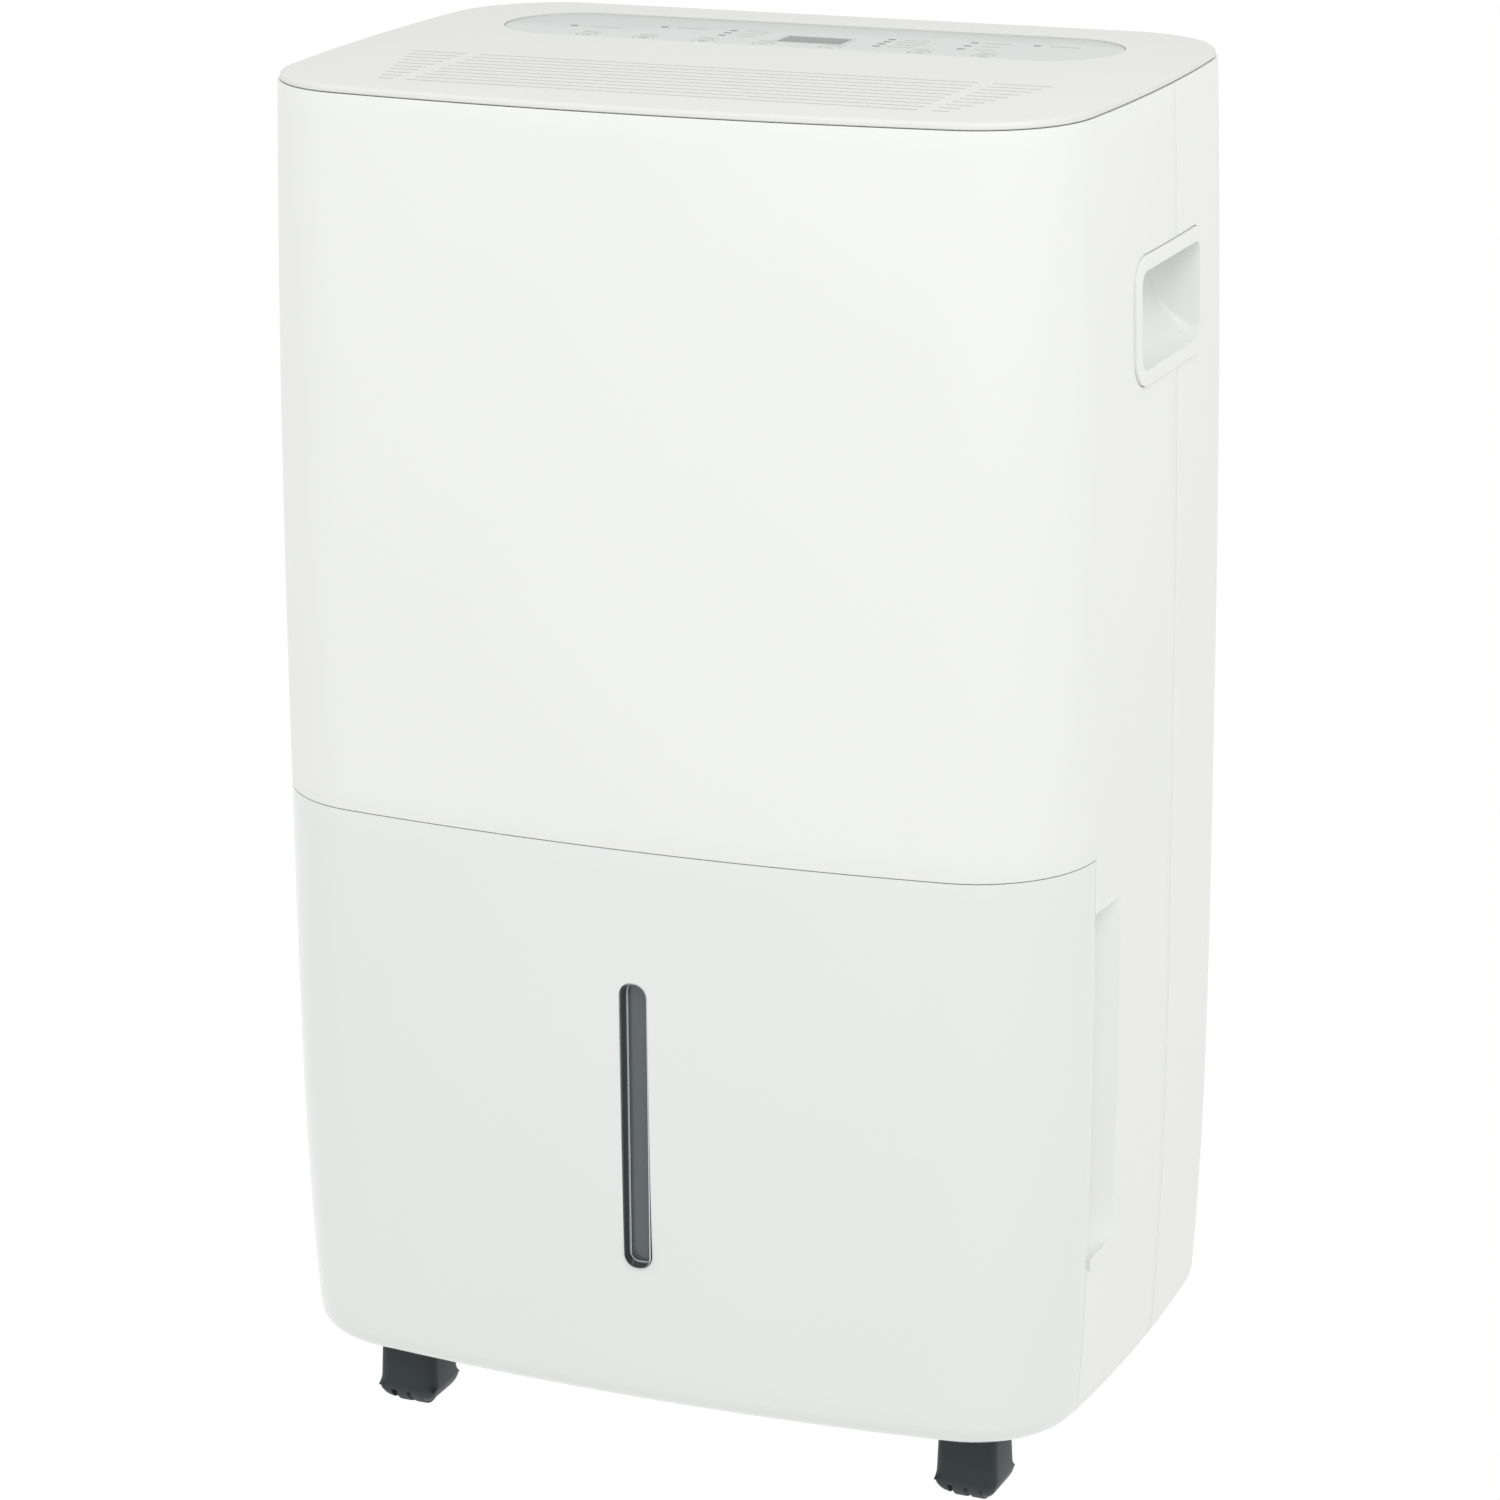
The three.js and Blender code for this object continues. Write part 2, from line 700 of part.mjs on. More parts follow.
const frontY = (z) => insetAt(z) - halfDepth; // the cabinet's front at the middle
const sightMiddle = (sight.bottom + sight.top) / 2;
const sightOutline = (grow) =>
  roundedRectangle(sight.width + 2 * grow, sight.top - sight.bottom + 2 * grow, sight.corner + grow);
const bucketFrontRing = (bottom, top) =>
  cabinetBlock(0, bottom, top).intersect(box(everywhere, [-beyond, bucketEdge - gap], everywhere));
add(
  "bucket_front",
  cut(
    bucketFrontRing(cabinet.underside, bucketTop),
    cabinetBlock(cabinet.wall, cabinet.underside - 1, bucketTop - bucket.lipHeight),
    cabinetBlock(cabinet.wall + bucket.lip, bucketTop - bucket.lipHeight - 1, bucketTop + 1),
    prism(sightOutline(sight.fit), "xz", [0, -beyond, sightMiddle], beyond + bucketEdge),
  ),
  white,
);

const tankHalf = halfWidth - grip.depth - 2 * cabinet.wall - 1.5;
const tankFront = -halfDepth + cabinet.wall + bucket.frontGap;
const tankBack = bayBack - bucket.backGap;
const tankTop = bucketTop - bucket.rim;
const tankMiddle = (tankFront + tankBack) / 2;
function tankBlock(inset, bottom, top) {
  const depth = tankBack - tankFront - 2 * inset;
  const plan = roundedRectangle(2 * (tankHalf - inset), depth, bucket.corner - inset);
  return prism(plan, "xy", [0, tankMiddle, bottom], top - bottom, 3);
}
const tankRib = (x) => box([x - 1.25, x + 1.25], [-halfDepth, tankFront + 1], [bucketFloor, tankTop - 4]);
const tankRoom = cabinetBlock(fitted, cabinet.underside, bucketTop - bucket.lipHeight - 1);
const tankWithRibs = join(tankBlock(0, bucketFloor, tankTop), tankRib(-tankHalf / 2), tankRib(tankHalf / 2));
add(
  "bucket_tank",
  cut(
    tankWithRibs.intersect(tankRoom),
    tankBlock(bucket.wall, bucketFloor + bucket.wall, tankTop + 1),
    prism(sightOutline(sight.fit), "xz", [0, tankFront - 5, sightMiddle], bucket.wall + 10),
  ),
  milky,
);
const sightFace = frontY(sightMiddle) + sight.set;
const sightBack = tankFront + bucket.wall;
const paneFace = sightFace + sight.recess;
const sightBlock = (grow, from, to) => prism(sightOutline(grow), "xz", [0, from, sightMiddle], to - from);
add(
  "sight_window",
  cut(
    sightBlock(0, sightFace, sightBack),
    sightBlock(-sight.wall, sightFace - 1, paneFace),
    sightBlock(-sight.wall, paneFace + sight.pane, sightBack + 1),
  ),
  clear,
);

// The float hangs from a pin on the tank's back wall and lifts as the water rises.
const floatPivot = [float.x, tankBack - bucket.wall, tankTop - float.drop];
const floatY = floatPivot[1] - float.width - 4;
const pinStart = [floatPivot[0], floatY - 2, floatPivot[2]];
add("float_pin", bar("y", float.pin, pinStart, float.width + 6 - touch), steel);
function floatShape() {
  const [x, , z] = floatPivot;
  const outline = roundedRectangle(float.length, float.height, 5);
  const far = x + float.armLength;
  const middle = [far + float.length / 2, floatY, z - float.height / 2 - 4];
  const block = prism(outline, "xz", middle, float.width, 3);
  const arm = box([x, far + 8], [floatY + 8, floatY + float.width - 8], [z - float.arm, z + float.arm]);
  const eye = bar("y", float.arm, [x, floatY + 8, z], float.width - 16);
  return cut(join(block, arm, eye), bar("y", float.pin + float.pinFit, [x, floatY, z], float.width));
}
add("bucket_float", floatShape(), foam);

// ---- filter door at the back, with the filter clipped inside it

const hingeZ = doorBottom + door.fit + door.thickness / 2;
function doorShape() {
  const half = doorHalf - door.fit;
  const top = doorTop - door.fit;
  const face = cabinetBlock(0, hingeZ - 1, top + 1);
  const outline = box([-half, half], [machineY, beyond], [hingeZ, top]);
  const plate = cut(face.intersect(outline), cabinetBlock(door.thickness, hingeZ - 2, top + 2));
  const barrel = bar("x", door.thickness / 2, [-half, doorY + door.thickness / 2, hingeZ], 2 * half, 12);
  const pitch = (top - hingeZ - 2 * door.border) / door.rows;
  const columnWidth = (2 * half - door.border) / door.columns;
  const slots = [];
  for (let row = 0; row < door.rows; row++) {
    const z = hingeZ + door.border + (row + 0.5) * pitch;
    for (let column = 0; column < door.columns; column++) {
      const left = -half + door.border + column * columnWidth;
      const across = [left, left + columnWidth - door.border];
      slots.push(box(across, [machineY, beyond], [z - door.slot / 2, z + door.slot / 2]));
    }
  }
  return cut(join(plate, barrel), ...slots);
}
add("filter_door", doorShape(), white);

function filterShape() {
  const half = doorHalf - filter.margin;
  const bottom = hingeZ + filter.margin;
  const top = doorTop - filter.margin;
  const behindBars = [filterFront + filter.bar, beyond];
  const cells = [];
  const stepX = (2 * half - filter.frame) / filter.columns;
  const stepZ = (top - bottom - filter.frame) / filter.rows;
  for (let i = 0; i < filter.columns; i++) {
    for (let j = 0; j < filter.rows; j++) {
      const left = -half + filter.frame + i * stepX;
      const low = bottom + filter.frame + j * stepZ;
      const across = [left, left + stepX - filter.frame];
      cells.push(box(across, behindBars, [low, low + stepZ - filter.frame]));
    }
  }
  return cut(box([-half, half], [filterFront, filterBack], [bottom, top]), ...cells);
}
add("air_filter", filterShape(), mesh);

// ---- coils, each a fin block between end plates with return bends

const coilBottom = shelfTop + coil.aboveTray;
const coilTop = housingTop - coil.belowTop;
function coilShape([y0, y1]) {
  const fins = box([-coilHalf, coilHalf], [y0 + 2, y1 - 2], [coilBottom + 3, coilTop - 3]);
  const plates = [-1, 1].map((side) => {
    const x = [side * coilHalf, side * (coilHalf + coil.plate)].sort((a, b) => a - b);
    return box([x[0] - 0.1, x[1] + 0.1], [y0, y1], [coilBottom, coilTop]);
  });
  const pitch = (coilTop - coilBottom) / bend.count;
  const bends = [-1, 1].flatMap((side) =>
    Array.from({ length: bend.count }, (_, i) => {
      const geometry = new THREE.TorusGeometry(bend.radius, bend.tube, 5, 8);
      const z = coilBottom + (i + 0.5) * pitch;
      return solid(geometry.rotateX(Math.PI / 2).translate(side * coilHalf, (y0 + y1) / 2, z));
    }),
  );
  return join(fins, ...plates, ...bends);
}
add("evaporator_coil", coilShape(evaporatorY), aluminium);
add("condenser_coil", coilShape(condenserY), aluminium);

const trayHalf = coilHalf + tray.margin;
const trayY = [condenserY[0] - 4, evaporatorY[1] + 2];
const trayZ = [shelfTop + touch, shelfTop + touch + tray.height];
const spout = tray.spoutWidth / 2;
const spoutInside = spout - tray.wall;
const trayInside = trayHalf - tray.wall;
const aboveTrayFloor = [trayZ[0] + tray.wall, beyond];
add(
  "drip_tray",
  cut(
    join(
      box([-trayHalf, trayHalf], trayY, trayZ),
      box([-spout, spout], [shelf.drainY - 12, trayY[0] + 1], [trayZ[0], trayZ[1] - 4]),
    ),
    box([-trayInside, trayInside], [trayY[0] + tray.wall, trayY[1] - tray.wall], aboveTrayFloor),
    box([-spoutInside, spoutInside], [shelf.drainY - 10, trayY[0] + 5], aboveTrayFloor),
    bar("z", shelf.drain - 2, [0, shelf.drainY, trayZ[0] - 1], 6),
  ),
  black,
);

// ---- fan: a scroll with its duct to the air slots, a blower wheel, and a motor in front

const scrollY = [louvreFront + scroll.motorRoom, louvreBack + scroll.mouth];
const scrollRoom = housingTop - lid.skirt - shelfTop;
const scrollRadius = (scrollRoom - scroll.duct) / 2 - scroll.clearance;
const fanZ = shelfTop + scroll.clearance + scrollRadius;
const ductTop = housingTop - lid.skirt;
function scrollBlock(inset, top) {
  const radius = scrollRadius - inset;
  const y = [scrollY[0] + inset, scrollY[1] - inset];
  const half = halfWidth - louvre.endMargin - inset;
  const mouthY = [louvreFront - scroll.mouth + inset, y[1]];
  const round = bar("y", radius, [0, y[0], fanZ], y[1] - y[0], 24);
  const duct = box([-radius, radius * 0.25], y, [fanZ, ductTop - 1]);
  const mouth = box([-half, half], mouthY, [ductTop - scroll.flare + inset, top]);
  return join(round, duct, mouth);
}
add(
  "fan_scroll",
  cut(
    scrollBlock(0, ductTop),
    scrollBlock(scroll.wall, ductTop + 5),
    bar("y", scrollRadius * scroll.inletShare, [0, scrollY[1] - 5, fanZ], 10, 20),
    bar("y", blower.hub + 4, [0, scrollY[0] - 5, fanZ], 10, 20),
  ),
  black,
);

function blowerShape() {
  const radius = scrollRadius - blower.clearance;
  const y = [scrollY[0] + scroll.wall + blower.endGap, scrollY[1] - scroll.wall - blower.endGap];
  const length = y[1] - y[0];
  const disc = bar("y", radius, [0, y[0], 0], blower.disc, 20);
  const hub = bar("y", blower.hub, [0, y[0], 0], 18, 12);
  const rim = cut(
    bar("y", radius, [0, y[1] - 3, 0], 3, 20),
    bar("y", radius - blower.bladeDepth * 0.55, [0, y[1] - 4, 0], 5, 20),
  );
  const blades = Array.from({ length: blower.blades }, (_, i) => {
    const geometry = new THREE.BoxGeometry(blower.bladeDepth, length - 1, blower.blade);
    geometry.rotateY(0.5).translate(radius - blower.bladeDepth / 2 - 1, (y[0] + y[1]) / 2, 0);
    return solid(geometry.rotateY((i / blower.blades) * Math.PI * 2));
  });
  const bore = bar("y", motor.shaft + motor.shaftFit, [0, y[0] - 1, 0], 40, 12);
  return cut(join(disc, hub, rim, ...blades), bore);
}
const fan = new THREE.Group();
fan.position.set(0, 0, fanZ);
dehumidifier.add(fan);
addTo(fan, "blower_wheel", blowerShape(), black);
const bracketY = [scrollY[0] - motor.bracketGap - motor.bracket, scrollY[0] - motor.bracketGap];
const motorBack = bracketY[0] - touch;
const shaftStart = motorBack - 12;
const shaftLength = scrollY[0] + 26 - shaftStart;
addTo(fan, "motor_shaft", bar("y", motor.shaft, [0, shaftStart, 0], shaftLength, 12), steel);
addTo(
  fan,
  "fan_motor",
  cut(
    join(
      bar("y", motor.radius, [0, motorBack - motor.length + 5, 0], motor.length - 10, 18),
      bar("y", motor.radius * 0.7, [0, motorBack - motor.length, 0], motor.length, 18),
    ),
    bar("y", motor.shaft + motor.shaftFit, [0, motorBack - 14, 0], 20, 12),
  ),
  steel,
);
const bracketArms = [0, 1, 2].map((i) => {
  const geometry = new THREE.BoxGeometry(scrollRadius * 0.92, motor.bracket, 14);
  geometry.translate(scrollRadius * 0.46, (bracketY[0] + bracketY[1]) / 2, 0);
  return solid(geometry.rotateY((i * Math.PI * 2) / 3 + Math.PI / 2));
});
addTo(
  fan,
  "motor_bracket",
  cut(
    join(bar("y", motor.radius - 4, [0, bracketY[0], 0], motor.bracket, 18), ...bracketArms),
    bar("y", blower.hub, [0, bracketY[0] - 2, 0], motor.bracket + 4, 20),
  ),
  steel,
);

// ---- compressor, its rubber feet, the accumulator and the pipes

const grommetTop = panTop + touch + compressor.grommetHeight;
const plateZ = grommetTop + touch;
const compressorTop = shelfBottom - compressor.belowShelf;
const compressorAt = [compressor.x, machineY, 0];
const footPoints = [0, 1, 2].map((i) => {
  const angle = (i * Math.PI * 2) / 3 - Math.PI / 2;
  const reach = compressor.foot - compressor.grommet;
  return [compressor.x + reach * Math.cos(angle), machineY + reach * Math.sin(angle)];
});
function compressorShape() {
  const r = compressor.radius;
  const low = plateZ + compressor.footPlate - 1;
  const high = compressorTop;
  const profile = [
    [0, low],
    [r * 0.55, low],
    [r * 0.9, low + 8],
    [r, low + 20],
    [r, high - 24],
    [r * 0.88, high - 9],
    [r * 0.5, high],
    [0, high],
  ];
  const body = turned(profile, compressorAt, 18);
  const { x: middle, grommet, footPlate } = compressor;
  const feet = footPoints.map(([x, y]) => bar("z", grommet + 2, [x, y, plateZ], footPlate));
  const plate = prism(polygon(...footPoints), "xy", [0, 0, plateZ], footPlate);
  const terminals = box([middle - 14, middle + 14], [machineY - 12, machineY + 12], [high - 4, high + 8]);
  return join(body, plate, terminals, ...feet);
}
add("compressor", compressorShape(), paintedSteel);
footPoints.forEach(([x, y], i) => {
  const { grommet, grommetHeight } = compressor;
  const profile = [
    [0, 0],
    [grommet, 0],
    [grommet * 0.75, grommetHeight / 2],
    [grommet, grommetHeight],
    [0, grommetHeight],
  ];
  add(`compressor_grommet_${i + 1}`, turned(profile, [x, y, panTop + touch], 12), rubber);
});

const accumulatorX = compressor.x - compressor.radius - accumulator.gap - accumulator.radius;
const accumulatorTop = Math.min(accumulator.bottom + accumulator.height, compressorTop - 15);
function accumulatorShape() {
  const { radius, bottom } = accumulator;
  const profile = [
    [0, bottom],
    [radius * 0.5, bottom],
    [radius, bottom + 14],
    [radius, accumulatorTop - 14],
    [radius * 0.5, accumulatorTop],
    [0, accumulatorTop],
  ];
  return turned(profile, [accumulatorX, machineY, 0], 14);
}
add("accumulator", accumulatorShape(), paintedSteel);

const pipeX = coilHalf + bend.radius + bend.tube + pipe.radius + 3;
const coilSide = coilHalf + coil.plate + 0.1 + touch;
const bendPitch = (coilTop - coilBottom) / bend.count;
const dischargeX = compressor.x + 30;
add(
  "discharge_pipe",
  tube([
    [dischargeX, machineY, compressorTop + touch],
    [dischargeX, machineY, compressorTop + 14],
    [dischargeX + 14, machineY, compressorTop + 25],
    [pipeX - 14, machineY - 4, compressorTop + 25],
    [pipeX, machineY - 6, compressorTop + 38],
    [pipeX + 3, condenserMiddle, coilBottom + 20],
    [pipeX + 3, condenserMiddle, coilTop - bendPitch - 12],
    [pipeX - 3, condenserMiddle, coilTop - bendPitch],
    [coilSide, condenserMiddle, coilTop - bendPitch],
  ]),
  copper,
);
add(
  "suction_pipe",
  tube([
    [accumulatorX, machineY, accumulatorTop + touch],
    [accumulatorX, machineY, accumulatorTop + 26],
    [accumulatorX + 12, machineY + 18, compressorTop + 12],
    [compressor.x - 30, machineY + 36, compressorTop + 22],
    [pipeX - 16, machineY + 34, compressorTop + 22],
    [pipeX, evaporatorMiddle, compressorTop + 40],
    [pipeX + 2, evaporatorMiddle, coilBottom + bendPitch - 14],
    [pipeX - 4, evaporatorMiddle, coilBottom + bendPitch],
    [coilSide, evaporatorMiddle, coilBottom + bendPitch],
  ]),
  copper,
);

function controlBoxShape() {
  const left = -(halfWidth - controlBox.sideMargin);
  const y = [machineY - controlBox.depth / 2, machineY + controlBox.depth / 2];
  const z = [controlBox.bottom, Math.min(controlBox.bottom + controlBox.height, shelfBottom - 10)];
  const lip = box([left - 3, left + controlBox.width + 3], [y[1] - 10, y[1] - 6], [z[0] - 3, z[1] + 3]);
  return join(box([left, left + controlBox.width], y, z), lip);
}
add("control_box", controlBoxShape(), milky);

// ---- drain outlet with its plug, cord gland, and housing screws

const spigotY = [trayY[1] + touch, backFace(drainAt) - drain.headHeight - 1];
add(
  "drain_spigot",
  cut(
    bar("y", drain.outer, [drain.x, spigotY[0], drainAt], spigotY[1] - spigotY[0]),
    bar("y", drain.bore, [drain.x, spigotY[0] - 1, drainAt], beyond),
  ),
  black,
);
add(
  "drain_plug",
  join(
    bar("y", drain.head, [drain.x, spigotY[1] + touch, drainAt], drain.headHeight, 16),
    bar("y", drain.plug, [drain.x, spigotY[1] - drain.plugLength, drainAt], drain.plugLength + 1),
  ),
  rubber,
);
add(
  "cord_gland",
  cut(
    join(
      bar("y", gland.radius, [gland.x, backFace(glandAt) - 3, glandAt], 2.6, 16),
      bar("y", gland.radius - 3, [gland.x, backFace(glandAt) - gland.length, glandAt], gland.length - 1, 12),
    ),
    bar("y", gland.bore, [gland.x, machineY, glandAt], machineRoom, 10),
  ),
  black,
);
screwPlaces.forEach(([x, z], i) => {
  const face = backFace(z) - 0.5;
  add(
    `housing_screw_${i + 1}`,
    join(
      bar("y", screw.head, [x, face - screw.headHeight, z], screw.headHeight, 10),
      bar("y", screw.shank, [x, face - screw.length, z], screw.length - 1, 6),
    ),
    steel,
  );
});

// ---- four swivel casters: a hood on a stem, a wheel and its axle

function hoodShape() {
  const half = caster.hood / 2;
  const round = caster.round;
  const face = new THREE.Shape();
  face.moveTo(half, caster.hoodTop);
  face.lineTo(-half, caster.hoodTop);
  face.absarc(-half + round, caster.lift + round, round, Math.PI, Math.PI * 1.5);
  face.absarc(half - round, caster.lift + round, round, Math.PI * 1.5, Math.PI * 2);
  const across = prism(face, "xz", [0, -half - caster.trail, 0], caster.hood, 2);
  const along = prism(face, "yz", [-half, -caster.trail, 0], caster.hood, 2);
  const well = caster.wheel + caster.fit + 0.8;
  const wellWidth = caster.wheelWidth / 2 + 0.8;
  const notch = caster.notch / 2;
  const middle = -caster.trail;
  return cut(
    join(
      across.intersect(along),
      bar("z", caster.stem, [0, 0, caster.hoodTop - 1], caster.stemLength - 2, 10),
    ),
    box([-wellWidth, wellWidth], [middle - well, middle + well], [-1, caster.wheel * 2 + 2]),
    box([-notch, notch], [middle - half - 1, middle], [-1, caster.lift + caster.notchHeight]),
    bar("x", caster.axle + caster.fit, [-half - 1, middle, caster.wheel], caster.hood + 2, 8),
  );
}
function wheelShape() {
  const half = caster.wheelWidth / 2;
  const tyre = bar("x", caster.wheel, [-half, 0, 0], caster.wheelWidth, 20);
  return cut(tyre, bar("x", caster.axle + caster.fit, [-half - 1, 0, 0], caster.wheelWidth + 2, 8));
}
for (const { name, x, y } of casterPlaces) {
  const place = new THREE.Group();
  place.position.set(x, y, 0);
  dehumidifier.add(place);
  addTo(place, `caster_hood_${name}`, hoodShape(), black);
  const hub = new THREE.Group();
  hub.position.set(0, -caster.trail, caster.wheel);
  place.add(hub);
  addTo(hub, `caster_wheel_${name}`, wheelShape(), rubber);
  const axle = bar("x", caster.axle, [-caster.hood / 2 + 1, 0, 0], caster.hood - 2, 8);
  addTo(hub, `caster_axle_${name}`, axle, steel);
}

export default dehumidifier;
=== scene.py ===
import math
from contextlib import contextmanager

import bmesh
import bpy
from mathutils import Matrix, Vector


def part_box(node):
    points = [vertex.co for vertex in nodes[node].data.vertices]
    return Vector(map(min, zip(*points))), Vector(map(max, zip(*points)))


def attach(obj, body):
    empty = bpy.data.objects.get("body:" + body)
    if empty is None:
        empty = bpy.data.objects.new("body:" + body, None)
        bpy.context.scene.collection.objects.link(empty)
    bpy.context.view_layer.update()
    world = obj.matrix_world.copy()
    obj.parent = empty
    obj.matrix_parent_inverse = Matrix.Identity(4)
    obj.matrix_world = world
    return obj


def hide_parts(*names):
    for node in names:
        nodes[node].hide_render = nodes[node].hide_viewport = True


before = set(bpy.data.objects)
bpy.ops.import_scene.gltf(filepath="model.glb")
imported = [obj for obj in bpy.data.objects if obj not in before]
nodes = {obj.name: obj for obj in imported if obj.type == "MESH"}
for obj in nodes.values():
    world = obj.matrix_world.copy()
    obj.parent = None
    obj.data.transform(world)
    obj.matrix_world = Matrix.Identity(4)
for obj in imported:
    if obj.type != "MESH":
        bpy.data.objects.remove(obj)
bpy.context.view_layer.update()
mm = 0.001
print("frame loaded")

# Heights and edges that everything is lined up on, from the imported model.
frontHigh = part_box("front_housing")[1]
rearLow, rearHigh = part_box("rear_housing")
bucketLow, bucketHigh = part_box("bucket_front")
underside = bucketLow.z
bucketTop = bucketHigh.z
bucketBack = bucketHigh.y
seamGap = 0.8 * mm
splitSeam = 0.35 * mm
lidSeam = 0.3 * mm
splitZ = bucketTop + splitSeam
housingTop = frontHigh.z
lidBase = housingTop + lidSeam
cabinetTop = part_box("top_panel")[1].z
halfWidth = frontHigh.x
halfDepth = rearHigh.y
beyond = 20 * mm  # how far a cutter reaches past the cabinet

fullRound = 0.4999  # the share of a block's width that rounds its end fully

# Modelling helpers.


def choose(*pieces):
    bpy.ops.object.select_all(action="DESELECT")
    for piece in pieces:
        piece.select_set(True)
    bpy.context.view_layer.objects.active = pieces[0]


@contextmanager
def shaping(piece):
    choose(piece)
    bpy.ops.object.mode_set(mode="EDIT")
    bpy.ops.mesh.select_all(action="DESELECT")
    yield
    bpy.ops.object.mode_set(mode="OBJECT")


# kind is VERT, EDGE or FACE. Selects what passes the test, in edit mode.
def grab(kind, test):
    bpy.ops.mesh.select_mode(type=kind)
    bpy.ops.mesh.select_all(action="DESELECT")
    mesh = bmesh.from_edit_mesh(bpy.context.object.data)
    parts = {"VERT": mesh.verts, "EDGE": mesh.edges, "FACE": mesh.faces}[kind]
    count = 0
    for part in parts:
        if test(part):
            part.select_set(True)
            count += 1
    mesh.select_flush_mode()
    bmesh.update_edit_mesh(bpy.context.object.data)
    return count


def middle(edge):
    return (edge.verts[0].co + edge.verts[1].co) / 2


def along(edge, axis):
    d = edge.verts[1].co - edge.verts[0].co
    return d.length > 1e-7 and abs(d[axis]) / d.length > 0.999


def settle(piece):
    choose(piece)
    bpy.ops.object.transform_apply(location=True, rotation=True, scale=True)


def named(name):
    piece = bpy.context.object
    piece.name = piece.data.name = name
    settle(piece)
    return piece


def block(name, low, high):
    bpy.ops.object.select_all(action="DESELECT")
    low, high = Vector(low), Vector(high)
    bpy.ops.mesh.primitive_cube_add(size=1, location=(low + high) / 2, scale=high - low)
    return named(name)


def rod(name, radius, start, length, axis="Z", sides=48):
    bpy.ops.object.select_all(action="DESELECT")
    turn = {"X": (0, math.pi / 2, 0), "Y": (-math.pi / 2, 0, 0), "Z": (0, 0, 0)}[axis]
    step = Vector({"X": (1, 0, 0), "Y": (0, 1, 0), "Z": (0, 0, 1)}[axis]) * length / 2
    bpy.ops.mesh.primitive_cylinder_add(
        vertices=sides, radius=radius, depth=length, location=Vector(start) + step, rotation=turn
    )
    return named(name)


def modify(piece, kind, **settings):
    choose(piece)
    modifier = piece.modifiers.new(kind.title(), kind)
    for key, value in settings.items():
        setattr(modifier, key, value)
    bpy.ops.object.modifier_apply(modifier=modifier.name)


def cutOut(piece, *tools, operation="DIFFERENCE"):
    for tool in tools:
        modify(piece, "BOOLEAN", object=tool, operation=operation, solver="EXACT")
        bpy.data.objects.remove(tool)


def soften(piece, width, segments=3, angle=40):
    modify(
        piece,
        "BEVEL",
        width=width,
        segments=segments,
        limit_method="ANGLE",
        angle_limit=math.radians(angle),
        use_clamp_overlap=True,
        miter_outer="MITER_ARC",
        harden_normals=False,
    )


def smooth(piece, angle=35):
    choose(piece)
    bpy.ops.object.shade_smooth_by_angle(angle=math.radians(angle))


def copyOf(piece, name, shift=(0, 0, 0)):
    choose(piece)
    bpy.ops.object.duplicate(linked=False)
    made = bpy.context.object
    made.location = shift
    return named(name)


def joined(name, pieces):
    choose(*pieces)
    bpy.ops.object.join()
    return named(name)


# A block whose four edges along one axis are rounded.
def roundedBlock(name, low, high, axis, corner, segments=10):
    piece = block(name, low, high)
    index = "XYZ".index(axis)
    with shaping(piece):
        grab("EDGE", lambda e: along(e, index))
        bpy.ops.mesh.bevel(offset=corner, segments=segments, affect="EDGES", clamp_overlap=True)
    return piece


# Makes a frame of a plate, by opening its two flat faces along one axis.
def openPlate(piece, axis, border):
    with shaping(piece):
        grab("FACE", lambda f: abs(f.normal["XYZ".index(axis)]) > 0.9)
        bpy.ops.mesh.inset(thickness=border, depth=0)
        bpy.ops.mesh.bridge_edge_loops()


def flipFaces(piece):
    with shaping(piece):
        bpy.ops.mesh.select_all(action="SELECT")
        bpy.ops.mesh.flip_normals()


# The cabinet's own form.

cabinet = {
    "frontBow": 1180 * mm,
    "sideBow": 1130 * mm,
    "nose": 55 * mm,
    "tail": 57 * mm,
    "waist": 330 * mm,
    "topTaper": 4.2 * mm,
    "topPower": 2.3,
    "footTaper": 6 * mm,
    "footPower": 3.8,
    "footRound": 10 * mm,
    "wall": 2.6 * mm,
    "edge": 0.55 * mm,
    "frontSteps": 16,
    "noseSteps": 12,
    "tailSteps": 14,
    "rearSteps": 9,
    "rowHeight": 10.5 * mm,
}


def insetAt(z):
    c = cabinet
    up = max(0, z - c["waist"]) / (cabinetTop - c["waist"])
    down = max(0, c["waist"] - max(z, underside)) / (c["waist"] - underside)
    foot = min(c["footRound"], max(0, underside + c["footRound"] - z))
    rounding = c["footRound"] - math.sqrt(c["footRound"] ** 2 - foot**2)
    return c["topTaper"] * up ** c["topPower"] + c["footTaper"] * down ** c["footPower"] + rounding


def arcPoint(centre, radius, angle):
    return centre[0] + radius * math.cos(angle), centre[1] + radius * math.sin(angle)


def angleFrom(centre, point):
    return math.atan2(point[1] - centre[1], point[0] - centre[0])


def planCentres():
    c = cabinet
    front = (0, c["frontBow"] - halfDepth)
    side = (halfWidth - c["sideBow"], 0)
    a, b = c["frontBow"] - c["nose"], c["sideBow"] - c["nose"]
    d = math.hypot(side[0], front[1])
    ux, uy = side[0] / d, -front[1] / d
    t = (a * a - b * b + d * d) / (2 * d)
    h = math.sqrt(a * a - t * t)
    nose = (ux * t - uy * h, front[1] + uy * t + ux * h)
    tailY = halfDepth - c["tail"]
    tail = (side[0] + math.sqrt((c["sideBow"] - c["tail"]) ** 2 - tailY**2), tailY)
    return front, side, nose, tail


frontCentre, sideCentre, noseAt, tailAt = planCentres()
noseStart, noseEnd = angleFrom(frontCentre, noseAt), angleFrom(sideCentre, noseAt)
tailStart = angleFrom(sideCentre, tailAt)


